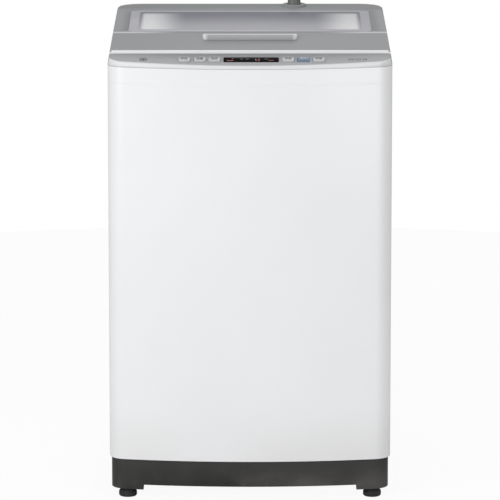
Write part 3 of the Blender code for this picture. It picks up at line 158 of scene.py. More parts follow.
world = bpy.data.worlds.new("studio")
world.use_nodes = True
bpy.context.scene.world = world
links = world.node_tree.links
sky = world.node_tree.nodes["Background"]
sky.inputs["Color"].default_value = (1, 1, 1, 1)
paths = world.node_tree.nodes.new("ShaderNodeLightPath")
either = world.node_tree.nodes.new("ShaderNodeMath")
either.operation = "MAXIMUM"
links.new(paths.outputs["Is Camera Ray"], either.inputs[0])
links.new(paths.outputs["Is Transmission Ray"], either.inputs[1])
level = world.node_tree.nodes.new("ShaderNodeMapRange")
level.inputs["To Min"].default_value = WORLD_LIGHT
level.inputs["To Max"].default_value = 1.0
links.new(either.outputs[0], level.inputs["Value"])
links.new(level.outputs["Result"], sky.inputs["Strength"])
bpy.context.scene.view_settings.view_transform = "Standard"
print("world light on the machine:", WORLD_LIGHT)

# %% [markdown]
# ## Helpers for modelling
#
# Operators act on whatever is selected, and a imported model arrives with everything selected. So
# each step first makes one object the only selected and active one. Faces and edges are picked
# by where they are or which way they look, which still works after a size changes.

# %% Selecting
HAIR = 1e-5                 # how far a point may be off a plane that it lies on


def pick(obj):
    """Makes one object the only selected and active one."""
    bpy.ops.object.select_all(action="DESELECT")
    obj.select_set(True)
    bpy.context.view_layer.objects.active = obj
    return obj


def choose(obj, kind, test):
    """In edit mode, selects just the vertices, edges or faces that pass a test."""
    bpy.ops.mesh.select_mode(type=kind)
    bpy.ops.mesh.select_all(action="DESELECT")
    shape = bmesh.from_edit_mesh(obj.data)
    items = {"VERT": shape.verts, "EDGE": shape.edges, "FACE": shape.faces}[kind]
    for item in items:
        item.select_set(test(item))
    shape.select_flush_mode()
    bmesh.update_edit_mesh(obj.data)


def middle_of(item):
    """Middle of an edge or a face."""
    return sum((vert.co for vert in item.verts), Vector()) / len(item.verts)


def apply_modifiers(obj):
    """Makes an object's modifiers part of its mesh, in their order."""
    pick(obj)
    for modifier in list(obj.modifiers):
        bpy.ops.object.modifier_apply(modifier=modifier.name)
    return obj


def settle(obj):
    """Moves an object's place, turn and size into its mesh."""
    pick(obj)
    bpy.ops.object.transform_apply(location=True, rotation=True, scale=True)
    return obj


# %% [markdown]
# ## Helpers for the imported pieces
#
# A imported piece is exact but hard-edged. Most of the work is to copy its mesh, join up its flat
# areas and round its edges, and then to say which node the copy stands for and what it rides on.

# %% Rounding edges
def soften(obj, width, segments=2, angle=32, smooth=40):
    """Rounds every edge sharper than an angle, then shades the curved parts smooth."""
    bevel = obj.modifiers.new("round_edges", "BEVEL")
    bevel.width = width
    bevel.segments = segments
    bevel.limit_method = "ANGLE"
    bevel.angle_limit = math.radians(angle)
    bevel.miter_outer = "MITER_ARC"
    apply_modifiers(obj)
    bpy.ops.object.shade_smooth_by_angle(angle=math.radians(smooth))
    return obj


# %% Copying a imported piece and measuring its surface
SAME_SPOT = 0.00002         # points nearer than this are one point
FLAT_ANGLE = math.radians(0.3)


def copy_node(node, name):
    """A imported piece's own mesh, with its loose triangles merged and its flat areas joined up."""
    obj = bpy.data.objects.new(name, NODES[node].data.copy())
    obj.data.materials.clear()
    bpy.context.scene.collection.objects.link(obj)
    pick(obj)
    bpy.ops.object.mode_set(mode="EDIT")
    bpy.ops.mesh.select_all(action="SELECT")
    bpy.ops.mesh.remove_doubles(threshold=SAME_SPOT)
    bpy.ops.mesh.dissolve_limited(angle_limit=FLAT_ANGLE)
    bpy.ops.object.mode_set(mode="OBJECT")
    return obj


def drop_on(node, x, y):
    """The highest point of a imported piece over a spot, and the way the surface faces there."""
    mesh = NODES[node].data
    spots = [vert.co for vert in mesh.vertices]
    surface = BVHTree.FromPolygons(spots, [face.vertices for face in mesh.polygons])
    point, normal, _, _ = surface.ray_cast(Vector((x, y, cad_box[1][2] + 1)), Vector((0, 0, -1)))
    if point is None:
        raise ValueError(f"nothing of {node} under {x}, {y}")
    return point, normal


# %% Handing a piece over
made = {}


def hand_over(obj, finish, body, nodes=()):
    """Gives a finished piece its finish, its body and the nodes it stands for."""
    obj.data.materials.clear()
    obj.data.materials.append(finish)
    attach(obj, body)
    if nodes:
        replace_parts(obj, *nodes)
    made[obj.name] = len(obj.data.polygons)
    return obj


# %% [markdown]
# ## Writing materials as sums
#
# A procedural finish is mostly arithmetic on a few textures. Wiring Math nodes by hand hides
# that arithmetic, so a small class wraps an output socket and turns +, -, * and / into Math
# nodes. Colours go through a Mix node, because Math would turn them grey.

# %% Sockets with arithmetic
class Wire:
    """A node's output that can be used in a sum."""

    def __init__(self, tree, socket):
        self.tree = tree
        self.socket = socket

    def add(self, kind, settings=None, inputs=None, output=0):
        return add_node(self.tree, kind, settings, inputs, output)

    def math(self, operation, first, second=0.0):
        return self.add("Math", {"operation": operation}, {0: first, 1: second})

    def size(self):
        return self.math("ABSOLUTE", self)

    def most(self, other):
        return self.math("MAXIMUM", self, other)

    def least(self, other):
        return self.math("MINIMUM", self, other)

    def root(self):
        return self.math("SQRT", self)

    def __add__(self, other):
        return self.math("ADD", self, other)

    def __radd__(self, other):
        return self.math("ADD", other, self)

    def __sub__(self, other):
        return self.math("SUBTRACT", self, other)

    def __rsub__(self, other):
        return self.math("SUBTRACT", other, self)

    def __mul__(self, other):
        return self.math("MULTIPLY", self, other)

    def __rmul__(self, other):
        return self.math("MULTIPLY", other, self)

    def __truediv__(self, other):
        return self.math("DIVIDE", self, other)

    def ramp(self, low, high):
        """0 at one value and 1 at another, smoothly between and level beyond them."""
        settings = {"interpolation_type": "SMOOTHSTEP"}
        return self.add("MapRange", settings, {"Value": self, "From Min": low, "From Max": high})

    def colours(self, first, second):
        """A colour that goes from the first to the second as this value goes from 0 to 1."""
        values = {0: self, 6: as_colour(first), 7: as_colour(second)}
        return self.add("Mix", {"data_type": "RGBA"}, values, 2)


def as_colour(value):
    return value if isinstance(value, Wire) else (*value, 1.0)


def add_node(tree, kind, settings=None, inputs=None, output=0):
    """Any shader node: its settings first, then the values or links of its sockets."""
    node = tree.nodes.new("ShaderNode" + kind)
    for name, value in (settings or {}).items():
        setattr(node, name, value)
    for key, value in (inputs or {}).items():
        if isinstance(value, Wire):
            tree.links.new(value.socket, node.inputs[key])
        else:
            node.inputs[key].default_value = value
    return Wire(tree, node.outputs[output])


# %% A finish
class Finish:
    """A Principled material with a few makers of patterns that sit still on the object."""

    def __init__(self, name, colour, **constants):
        self.material = bpy.data.materials.new(name)
        self.material.use_nodes = True
        self.tree = self.material.node_tree
        self.shader = self.tree.nodes["Principled BSDF"]
        self.shader.inputs["Base Color"].default_value = (*colour, 1.0)
        for key, value in constants.items():
            self.shader.inputs[key.replace("_", " ")].default_value = value
        self.place = add_node(self.tree, "TexCoord", output=3)
        split = {"Vector": self.place}
        self.x, self.y, self.z = (add_node(self.tree, "SeparateXYZ", None, split, i) for i in range(3))

    def noise(self, scale, detail=2.0, stretch=(1, 1, 1)):
        """Soft cloudy values around 0.5; a stretch below 1 draws them out along an axis."""
        spot = add_node(self.tree, "VectorMath", {"operation": "MULTIPLY"}, {0: self.place, 1: stretch})
        return add_node(self.tree, "TexNoise", None, {"Vector": spot, "Scale": scale, "Detail": detail})

    def cells(self, scale):
        return add_node(self.tree, "TexVoronoi", None, {"Vector": self.place, "Scale": scale})

    def edge_wear(self):
        """About 0.5 on flat areas and more on raised edges."""
        return add_node(self.tree, "NewGeometry", output=7)

    def drive(self, socket, wire):
        self.tree.links.new(wire.socket, self.shader.inputs[socket])
        return self

    def bump(self, height, strength, distance):
        """Raises and lowers the surface; the distance is the height in metres of a full step."""
        values = {"Height": height, "Strength": strength, "Distance": distance}
        return self.drive("Normal", add_node(self.tree, "Bump", None, values))


FINISHES = {}


def keep_finish(finish):
    FINISHES[finish.material.name] = finish.material
    return finish.material


# %% [markdown]
# ## The finishes
#
# - Powder-coated enamel is smooth, but never quite: a fine orange-peel waviness breaks up its
#   reflections.
# - The grey top is satin plastic with a fine metallic grain, a little worn at its edges.
# - The base is dark moulded plastic with a spark-eroded texture and some dust low down.
# - The drum and its screw are stainless steel, brushed round the drum.
# - Hidden steel is zinc-plated, which shows a faint spangle. Castings are rough and matt.

# %% Enamel
def white_enamel(name="baked_enamel", crease=None, shadow_line=None):
    """Powder coat with orange peel, a breath of unevenness and dust near the floor.

    A crease is the height of the soft step that is pressed round the cabinet, and a shadow line
    is a function of the finish that gives 1 along the painted shadow line under the console.
    """
    coat = Finish(name, (0.87, 0.875, 0.885), Roughness=0.30, Specular_IOR_Level=0.4)
    cloud = coat.noise(3.0, 3.0)
    peel = coat.noise(420.0, 1.0)
    dust = coat.z.ramp(0.20, 0.08) * cloud.ramp(0.35, 0.7)
    clean = cloud.ramp(0.3, 0.7).colours((0.86, 0.865, 0.875), (0.885, 0.89, 0.90))
    shade = (dust * 0.25).colours(clean, (0.60, 0.585, 0.56))
    if shadow_line:
        # painted shadow: a dark grey line under the console's lower edge
        shade = shadow_line(coat).colours(shade, (0.34, 0.34, 0.35))
    coat.drive("Base Color", shade)
    coat.drive("Roughness", 0.26 + cloud * 0.10 + dust * 0.15)
    if crease is None:
        coat.bump(peel, 0.12, 0.00006)
    else:
        step = coat.z.ramp(crease - 0.0012, crease + 0.0012)
        coat.bump(step + peel * 0.03, 0.6, 0.0006)
    return keep_finish(coat)


# %% Satin silver plastic
# The near white that highlights are painted in.
HIGHLIGHT_WHITE = (0.80, 0.81, 0.82)


def scaled(colour, factor):
    """A colour made lighter or darker, but never lighter than white."""
    return tuple(min(1.0, value * factor) for value in colour)


def silver_plastic(name, colour, painted_highlight=None, shading=None):
    """Satin plastic with a fine metallic fleck, paler where hands rub its edges.

    A painted highlight is a function of the finish that gives 1 where a near-white highlight is
    painted on, and a shading one that gives 0 to 1 from painted shade to painted highlight.
    """
    shell = Finish(name, colour, Roughness=0.45, Specular_IOR_Level=0.14)
    fleck = shell.noise(2600.0, 0.0).ramp(0.35, 0.75)
    cloud = shell.noise(7.0, 3.0)
    worn = shell.edge_wear().ramp(0.52, 0.60)
    shade = (fleck * 0.275 + cloud * 0.45).colours(scaled(colour, 0.90), scaled(colour, 1.16))
    if shading:
        # painted light and shade: the paint runs from 0.72 to 1.30 times its colour
        tone = fleck * 0.1 + shading(shell)
        shade = tone.colours(scaled(colour, 0.72), scaled(colour, 1.30))
    if painted_highlight:
        # painted highlight in near white where the mask gives 1
        shade = painted_highlight(shell).colours(shade, HIGHLIGHT_WHITE)
    shell.drive("Base Color", (worn * 0.35).colours(shade, scaled(colour, 1.5)))
    shell.drive("Roughness", 0.42 + cloud * 0.12 - worn * 0.06)
    shell.bump(shell.noise(1500.0, 1.0), 0.10, 0.00004)
    return keep_finish(shell)


# %% Moulded plastics
def grained_plastic(name, colour):
    """Plastic from a textured mould: pebbled, matt, and dusty near the floor."""
    shell = Finish(name, colour, Roughness=0.58)
    pebble = shell.cells(900.0)
    cloud = shell.noise(9.0, 4.0)
    shade = cloud.ramp(0.3, 0.7).colours(scaled(colour, 0.75), scaled(colour, 1.2))
    dust = shell.z.ramp(0.075, 0.02) * cloud.ramp(0.4, 0.75) * 0.30
    shell.drive("Base Color", dust.colours(shade, (0.22, 0.21, 0.195)))
    shell.drive("Roughness", 0.50 + cloud * 0.18)
    shell.bump(pebble, 0.25, 0.00012)
    return keep_finish(shell)


def smooth_plastic(name, colour, roughness=0.34):
    """Plain moulded plastic with faint flow marks."""
    shell = Finish(name, colour, Roughness=roughness)
    flow = shell.noise(14.0, 3.0, (1, 1, 0.4))
    shell.drive("Base Color", flow.colours(scaled(colour, 0.94), scaled(colour, 1.06)))
    shell.drive("Roughness", roughness - 0.05 + flow * 0.10)
    shell.bump(shell.noise(900.0, 1.0), 0.08, 0.00004)
    return keep_finish(shell)


def rubber(name="foot_rubber"):
    """Matt black rubber with a dull bloom."""
    shell = Finish(name, (0.022, 0.022, 0.023), Roughness=0.78)
    bloom = shell.noise(60.0, 4.0)
    shell.drive("Base Color", bloom.ramp(0.35, 0.75).colours((0.016, 0.016, 0.017), (0.05, 0.049, 0.047)))
    shell.drive("Roughness", 0.70 + bloom * 0.18)
    shell.bump(shell.noise(1400.0, 2.0), 0.25, 0.00008)
    return keep_finish(shell)


# %% Metals
def brushed_steel(name="brushed_sheet"):
    """Stainless steel brushed level round the drum."""
    metal = Finish(name, (0.74, 0.74, 0.75), Roughness=0.30, Metallic=0.75)
    lines = metal.noise(60.0, 4.0, (1, 1, 22))
    metal.drive("Base Color", lines.colours((0.66, 0.66, 0.67), (0.84, 0.84, 0.845)))
    metal.drive("Roughness", 0.20 + lines * 0.20)
    metal.bump(lines, 0.10, 0.00004)
    return keep_finish(metal)


def zinc_plate(name="galvanised_sheet"):
    """Galvanised steel with its spangle."""
    metal = Finish(name, (0.55, 0.56, 0.57), Roughness=0.42, Metallic=1.0)
    spangle = metal.cells(90.0)
    film = metal.noise(25.0, 4.0)
    metal.drive("Base Color", (spangle * 0.6 + film * 0.4).colours((0.44, 0.45, 0.465), (0.66, 0.67, 0.68)))
    metal.drive("Roughness", 0.34 + film * 0.18)
    metal.bump(film, 0.06, 0.0001)
    return keep_finish(metal)


def cast_alloy(name="cast_alloy"):
    """Die-cast aluminium with a sandy skin."""
    metal = Finish(name, (0.42, 0.42, 0.43), Roughness=0.52, Metallic=0.9)
    sand = metal.noise(700.0, 2.0)
    stain = metal.noise(30.0, 4.0)
    metal.drive("Base Color", stain.ramp(0.35, 0.7).colours((0.33, 0.33, 0.34), (0.52, 0.52, 0.53)))
    metal.drive("Roughness", 0.45 + stain * 0.2)
    metal.bump(sand, 0.3, 0.00015)
    return keep_finish(metal)


# %% Glass, gloss black and the circuit board
PANE_BORDER = 0.019         # width of the frosted border
PANE_CORNER = 0.012         # radius of the corners inside the border
PANE_TONES = ((0.222, 0.226, 0.276), (0.47, 0.472, 0.505))      # smoke deepened by painted shade at the hinge and lightened by painted reflection in front
# painted reflection on the pane's two ends
PANE_GLARE = (0.95, 0.955, 0.96)
# painted shade along the pane's rim by the hinge
PANE_RIM = (0.10, 0.10, 0.125)
PANE_FROST = ((0.51, 0.508, 0.55), (0.56, 0.558, 0.60))
BORDER_FADE = (-0.0022, 0.0010)     # where the frost begins, from the border's inner line
RIM_FADE = (-0.007, -0.001)         # and the painted shade of the rim inside it
RIM_REAR = (0.045, 0.028)           # the rim's painted shade shows only this near to the hinge
GLARE_FADE = (-0.001, -0.012)       # the painted reflections at the ends stop short of the border
GLARE_ENDS = (0.52, 0.84)           # and begin at these shares of the half width
GLARE_REAR = (0.020, 0.055)         # and leave out a strip by the hinge


def tinted_pane(name="tinted_pane", low=(-0.25, 0.0), high=(0.25, 0.2)):
    """Smoked clear plastic with a frosted border, with painted shade deepening it towards the hinge.

    Its two ends get a painted reflection, and the low and high corners say where its outline lies.
    """
    pane = Finish(name, (0.20, 0.205, 0.235), Roughness=0.22, Specular_IOR_Level=0.15)
    haze = pane.noise(5.0, 3.0)
    half_x = (high[0] - low[0]) / 2
    half_y = (high[1] - low[1]) / 2
    out_x = (pane.x - (low[0] + high[0]) / 2).size() - (half_x - PANE_BORDER - PANE_CORNER)
    out_y = (pane.y - (low[1] + high[1]) / 2).size() - (half_y - PANE_BORDER - PANE_CORNER)
    corner = (out_x.most(0.0) * out_x.most(0.0) + out_y.most(0.0) * out_y.most(0.0)).root()
    beyond = corner + out_x.most(out_y).least(0.0) - PANE_CORNER
    border = beyond.ramp(*BORDER_FADE)
    depth = pane.y.ramp(high[1] - PANE_BORDER, low[1] + PANE_BORDER)
    ends = pane.x.size().ramp(half_x * GLARE_ENDS[0], half_x * GLARE_ENDS[1])
    ends = ends * pane.y.ramp(high[1] - GLARE_REAR[0], high[1] - GLARE_REAR[1])
    smoke_and_shade = depth.colours(*PANE_TONES)
    rim = beyond.ramp(*RIM_FADE) * pane.y.ramp(high[1] - RIM_REAR[0], high[1] - RIM_REAR[1])
    lit = (ends * beyond.ramp(*GLARE_FADE) * 0.95).colours(smoke_and_shade, PANE_GLARE)
    lit = (rim * 0.7).colours(lit, PANE_RIM)
    frost = haze.ramp(0.3, 0.7).colours(*PANE_FROST)
    pane.drive("Base Color", border.colours(lit, frost))
    pane.drive("Roughness", 0.30 + haze * 0.08 + border * 0.2)
    pane.drive("Alpha", 0.80 + haze * 0.06 + border * 0.10)
    return keep_finish(pane)


def gloss_black(name="polished_lens"):
    """The display's polished lens, with faint wiping marks."""
    lens = Finish(name, (0.004, 0.004, 0.005), Roughness=0.20, Specular_IOR_Level=0.004)
    wipes = lens.noise(18.0, 3.0, (0.3, 1, 1))
    lens.drive("Base Color", wipes.colours((0.002, 0.002, 0.003), (0.006, 0.006, 0.007)))
    lens.drive("Roughness", 0.16 + wipes * 0.10)
    return keep_finish(lens)


def solder_mask(name="solder_mask"):
    """Green board with faint copper tracks under its mask."""
    board = Finish(name, (0.02, 0.14, 0.06), Roughness=0.38)
    tracks = add_node(board.tree, "TexBrick", None, {"Vector": board.place, "Scale": 60.0}, 1)
    board.drive("Base Color", tracks.ramp(0.2, 0.8).colours((0.02, 0.13, 0.055), (0.05, 0.24, 0.10)))
    board.drive("Roughness", 0.32 + board.noise(80.0) * 0.14)
    return keep_finish(board)


SILVER = (0.285, 0.290, 0.298)
# A lighter copy of SILVER for the console and the front flap, as painted light on their steeper faces.
LIT_FRONT_SILVER = (0.335, 0.340, 0.349)
MAKERS = {
    "white_enamel": white_enamel(),
    "zinc_steel": zinc_plate(),
    "base_plastic": grained_plastic("grained_black", (0.021, 0.0206, 0.0185)),
    "dark_rubber": rubber(),
    "grey_plastic": silver_plastic("silver_moulding", SILVER),
    "clear_pane": tinted_pane(),
    "black_gloss": gloss_black(),
    "button_plastic": smooth_plastic("key_white", (0.60, 0.61, 0.62)),
    "circuit_board": solder_mask(),
    "tub_plastic": smooth_plastic("tub_moulding", (0.66, 0.67, 0.68), 0.42),
    "stainless": brushed_steel(),
    "motor_alloy": cast_alloy(),
}
print("finishes:", sorted(FINISHES))

# %% [markdown]
# ## The cabinet
#
# The real cabinet is one sheet of steel, folded round three sides of the machine, with a bowed
# front. So it is made the way it is folded: one upright edge is spun along the bow, then round
# the corner, pulled back along the side and turned in at the rear. The other half is a mirror
# image, and a Solidify modifier gives the sheet its thickness.

# %% The outline's arcs
FRONT_SAG = 0.030           # how far the front bows out in its middle
FRONT_CORNER_R = 0.038
REAR_CORNER_R = 0.005
FLANGE = 0.012              # width of the turned-in rims
SHEET = 0.0012              # thickness of the steel
SHEET_EDGE_R = 0.0011


def bow_arcs(half, front):
    """Centre of the bowed front, centre of its corner, and the angle where the two arcs meet."""
    bow_r = (half**2 + FRONT_SAG**2) / (2 * FRONT_SAG)
    bow_y = front + bow_r
    corner_x = half - FRONT_CORNER_R
    corner_y = bow_y - math.sqrt((bow_r - FRONT_CORNER_R) ** 2 - corner_x**2)
    return bow_y, corner_x, corner_y, math.atan2(corner_x, bow_y - corner_y)


def pull(vector):
    """Extrudes the selected edge or faces along a vector."""
    bpy.ops.mesh.extrude_region_move(TRANSFORM_OT_translate={"value": vector})


def turn_about(x, y, angle, steps):
    """Spins the selected edge about an upright axis, anticlockwise from above.

    A spin turns clockwise about its axis, so the axis points down.
    """
    bpy.ops.mesh.spin(steps=steps, angle=angle, center=(x, y, 0), axis=(0, 0, -1))


# %% Spinning the wall
def bowed_wall(name, low_corner, high_corner):
    """An open sheet: the front, one side and the turned-in rear edge, then its mirror image."""
    half, rear = high_corner[0], high_corner[1]
    low, high = low_corner[2], high_corner[2]
    bow_y, corner_x, corner_y, lean = bow_arcs(half, low_corner[1])
    spot = (0.5, low_corner[1], (low + high) / 2)
    bpy.ops.object.select_all(action="DESELECT")
    bpy.ops.mesh.primitive_plane_add(size=1, location=spot, rotation=(math.pi / 2, 0, 0))
    wall = bpy.context.object
    wall.name = name
    bpy.ops.transform.resize(value=(1, 1, high - low))
    settle(wall)
    bpy.ops.object.mode_set(mode="EDIT")
    choose(wall, "VERT", lambda vert: vert.co.x > 0.5)
    bpy.ops.mesh.delete(type="VERT")
    bpy.ops.mesh.select_all(action="SELECT")
    turn_about(0, bow_y, lean, 28)
    turn_about(corner_x, corner_y, math.pi / 2 - lean, 16)
    pull((0, rear - REAR_CORNER_R - corner_y, 0))
    turn_about(half - REAR_CORNER_R, rear - REAR_CORNER_R, math.pi / 2, 5)
    pull((REAR_CORNER_R - FLANGE, 0, 0))
    bpy.ops.object.mode_set(mode="OBJECT")
    mirror = wall.modifiers.new("other_half", "MIRROR")
    mirror.use_clip = True
    mirror.merge_threshold = 0.00005
    return apply_modifiers(wall)


def rim_in(wall, z, factor):
    """Turns the sheet's edge at one height inwards, as a narrow flange."""
    pick(wall)
    bpy.ops.object.mode_set(mode="EDIT")
    choose(wall, "EDGE", lambda edge: edge.is_boundary and all(abs(v.co.z - z) < HAIR for v in edge.verts))
    bpy.ops.mesh.extrude_region_move()
    bpy.ops.transform.resize(value=(factor, factor, 1), center_override=(0, 0, z))
    bpy.ops.object.mode_set(mode="OBJECT")


# %% Cabinet
cab_low, cab_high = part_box("cabinet_shell")
cabinet = bowed_wall("cabinet_skin", cab_low, cab_high)
for rim in (cab_low.z, cab_high.z):
    rim_in(cabinet, rim, 1 - FLANGE / cab_high.x)
pick(cabinet)
bpy.ops.object.mode_set(mode="EDIT")
bpy.ops.mesh.select_all(action="SELECT")
bpy.ops.mesh.normals_make_consistent(inside=False)
bpy.ops.object.mode_set(mode="OBJECT")
sheet = cabinet.modifiers.new("sheet", "SOLIDIFY")
sheet.thickness = SHEET
sheet.offset = -1
soften(cabinet, SHEET_EDGE_R, 3, 50, 35)
print("cabinet:", [round(v, 4) for v in cabinet.dimensions])

# %% The cabinet's shadow line and its finish
CREASE_DROP = 0.0335        # how far below the cabinet's top its pressed crease runs
SHADOW_LINE_DROP = 0.0010          # how far below the cabinet's top the shadow line's ends are
SHADOW_LINE_SAG = 0.0012           # how much lower the shadow line is in the middle than at the ends
SHADOW_LINE_HALF_WIDTH = 0.0007
SHADOW_LINE_FRONT = (-0.20, -0.23)     # where the line fades in on its way round the corner


def console_shadow_line(coat):
    """A painted shadow: a thin dark line that follows the console's lower edge round the front."""
    share = coat.x / cab_high.x
    line_z = cab_high.z - SHADOW_LINE_DROP - (1.0 - share * share) * SHADOW_LINE_SAG
    off = (coat.z - line_z).size()
    return off.ramp(SHADOW_LINE_HALF_WIDTH * 1.4, SHADOW_LINE_HALF_WIDTH * 0.6) * coat.y.ramp(*SHADOW_LINE_FRONT) * 0.8


creased = white_enamel("creased_enamel", cab_high.z - CREASE_DROP, console_shadow_line)
hand_over(cabinet, creased, "cabinet", ["cabinet_shell"])
print("cabinet:", made["cabinet_skin"], "faces")

# %% [markdown]
# ## The console
#
# The console, the lid's two flaps and the hood behind them are large mouldings with soft outer
# edges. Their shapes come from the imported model. Only the outer edge between the top face and
# the wall gets a wide round, picked by the way its two faces look: one up, the other sideways.
# The holes for the keys keep a small round. The console's strip next to the lid is lowered, which
# makes the dark groove between the two.

# %% Rounding an outer edge
OUTLINE_STEPS = 5
LOOKS_UP = 0.85             # a top face's normal rises more than this
LOOKS_SIDEWAYS = 0.6        # and a wall's rises or falls less than this
FINE_R = 0.0004


def round_outline(obj, width, spare=lambda spot: False):
    """Rounds widely between faces that look up and walls that look sideways, the rest finely."""
    pick(obj)
    bpy.ops.object.mode_set(mode="EDIT")

    def outer(edge):
        if len(edge.link_faces) != 2 or spare(middle_of(edge)):
            return False
        rises = sorted(face.normal.z for face in edge.link_faces)
        return rises[1] > LOOKS_UP and abs(rises[0]) < LOOKS_SIDEWAYS and edge.is_convex

    choose(obj, "EDGE", outer)
    bpy.ops.mesh.bevel(offset=width, segments=OUTLINE_STEPS, affect="EDGES", clamp_overlap=True)
    bpy.ops.object.mode_set(mode="OBJECT")
    return soften(obj, FINE_R, 2, 32, 35)


# %% The console's place and slope
CONSOLE_FACE_RISE = 0.0012      # from the middle of the display's box to the console's face

console_up = -Vector(JOINTS["key_1_press"]["axis"]).normalized()
display_low, display_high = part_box("display_window")
console_mid = (display_low + display_high) / 2 + console_up * CONSOLE_FACE_RISE
console_low, console_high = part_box("control_panel")
print("the console's face looks along", [round(v, 3) for v in console_up])

# %% Console
CONSOLE_EDGE_R = 0.0032
GROOVE_WIDTH = 0.007        # the dark groove between the console and the lid
GROOVE_DEPTH = 0.0042
GROOVE_REACH = (0.003, 0.005)   # points this near to the rear line and the top are lowered
KEY_ZONE = (0.17, 0.014)    # the keys' holes lie this near to the console's middle

rear_line = console_high.y

console = copy_node("control_panel", "console")
pick(console)
bpy.ops.object.mode_set(mode="EDIT")
bpy.ops.mesh.select_all(action="SELECT")
bpy.ops.mesh.bisect(plane_co=(0, rear_line - GROOVE_WIDTH, 0), plane_no=(0, 1, 0))
choose(
    console, "VERT",
    lambda vert: vert.co.y > rear_line - GROOVE_REACH[0] and vert.co.z > console_high.z - GROOVE_REACH[1],
)
bpy.ops.transform.translate(value=(0, 0, -GROOVE_DEPTH))
bpy.ops.object.mode_set(mode="OBJECT")
round_outline(
    console, CONSOLE_EDGE_R,
    lambda spot: abs(spot.y - console_mid.y) < KEY_ZONE[1] and abs(spot.x) < KEY_ZONE[0],
)

# %% The console's painted highlight and shade
CORNER_FROM = 0.25          # further out than this the corner counts as the edge
CORNER_STEEPNESS = 10.0     # how fast it stops to count nearer to the middle
HIGHLIGHT_BAND = (0.0062, 0.0054)     # the painted highlight on the lip fades out between these distances from the edge
HIGHLIGHT_THINNING = 0.0036       # how much narrower the painted highlight is at the console's ends
HIGHLIGHT_FRONT = (-0.228, -0.238)
SHEEN_BAND = (0.075, 0.010)     # painted highlight: the paint gets lighter between these distances from the front
GROOVE_SHADE = (0.0015, 0.0085)     # and painted shade darkens it between these distances from the groove

bow_y, corner_x, corner_y = bow_arcs(cab_high.x, cab_low.y)[:3]
console_half = (console_high.x - console_low.x) / 2
print("bow's centre:", round(bow_y, 4), "corner's centre:", round(corner_x, 4), round(corner_y, 4))


def from_bow(shell):
    """Distance in from the bowed front edge."""
    back = shell.y - bow_y
    return (bow_y - cab_low.y) - (shell.x * shell.x + back * back).root()


def console_lip_highlight(shell):
    """A painted highlight: a near-white line along the lip's front edge, thin round the corners."""
    across = shell.x.size()
    past_x = (across - corner_x).most(0.0)
    past_y = (corner_y - shell.y).most(0.0)
    from_corner = FRONT_CORNER_R - (past_x * past_x + past_y * past_y).root()
    inward = (CORNER_FROM - across).most(0.0) * CORNER_STEEPNESS
    from_edge = from_bow(shell).least(from_corner + inward)
    side = across / console_half
    end = side * side * side * side
    return (from_edge + end * end * HIGHLIGHT_THINNING).ramp(*HIGHLIGHT_BAND) * shell.y.ramp(*HIGHLIGHT_FRONT)


def console_shading(shell):
    """Painted highlight towards the front edge, and painted shade in the groove."""
    groove = shell.y.ramp(rear_line - GROOVE_SHADE[0], rear_line - GROOVE_SHADE[1])
    return from_bow(shell).ramp(*SHEEN_BAND) * groove


console_silver = silver_plastic("console_silver", LIT_FRONT_SILVER, console_lip_highlight, console_shading)
hand_over(console, console_silver, "cabinet", ["control_panel"])
print("console:", made["console"], "faces")

# %% [markdown]
# ## The two flaps and the hood behind them
#
# The flaps meet in a fold, whose edges get a painted highlight near their ends. The rear flap
# has only finely rounded edges round its window, where the pane sits flush. The hood behind the
# lid is moulded and painted in the same way.

# %% The fold
FLAP_R = 0.0036
GLINT_FADE = 0.0012
GLINT_ENDS = (0.13, 0.24)       # the painted highlight appears between these distances from the middle
GLINT_STRENGTH = 0.75
EDGE_PROBE = (0.15, 0.006)      # where the flap's slope is measured: across, and from its edge

flap_low, flap_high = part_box("lid_front_panel")
fold_y = (flap_high.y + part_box("lid_rear_panel")[0].y) / 2
edge_spot, edge_up = drop_on("lid_front_panel", EDGE_PROBE[0], flap_low.y + EDGE_PROBE[1])
print("fold at y =", round(fold_y, 4), "front edge at z =", round(edge_spot.z, 4))


def fold_glint(inward, width):
    """A painted highlight along the fold, which shows most near the flap's ends."""
    def painted_highlight(shell):
        line = ((shell.y - fold_y) * inward).ramp(width + GLINT_FADE, width)
        return line * shell.x.size().ramp(*GLINT_ENDS) * GLINT_STRENGTH
    return painted_highlight


# %% Front flap
FRONT_GLINT = 0.0065
FRONT_EDGE_HIGHLIGHT = (0.0036, 0.0028)       # the painted highlight ends between these distances from the front edge
FRONT_WALL_HIGHLIGHT = (0.0034, 0.0028)       # and between these depths below the top face
DARK_WALL = (0.0048, 0.0040)        # painted shade darkens the front wall below these depths
# painted shade in the fold between these distances from it
FOLD_SHADE = (0.0010, 0.0050)


def flap_highlight(shell):
    """The painted highlights along the fold and on the front edge that the lip grows out of."""
    front = shell.y.ramp(flap_low.y + FRONT_EDGE_HIGHLIGHT[0], flap_low.y + FRONT_EDGE_HIGHLIGHT[1])
    upper = shell.z.ramp(edge_spot.z - FRONT_WALL_HIGHLIGHT[0], edge_spot.z - FRONT_WALL_HIGHLIGHT[1])
    return fold_glint(-1, FRONT_GLINT)(shell).most(front * upper)


def flap_shading(shell):
    """Even paint, with painted shade in the fold and low on the front wall."""
    lit = shell.y.ramp(fold_y - FOLD_SHADE[0], fold_y - FOLD_SHADE[1])
    return lit * shell.z.ramp(edge_spot.z - DARK_WALL[0], edge_spot.z - DARK_WALL[1]) * 0.5


front_flap = copy_node("lid_front_panel", "front_flap")
round_outline(front_flap, FLAP_R)
flap_silver = silver_plastic("flap_silver", LIT_FRONT_SILVER, flap_highlight, flap_shading)
hand_over(front_flap, flap_silver, "lid_front", ["lid_front_panel"])
print("front flap:", made["front_flap"], "faces")

# %% Rear flap and rear hood
REAR_GLINT = 0.0030
WINDOW_EDGE = 0.004         # edges nearer than this to the window get no wide round

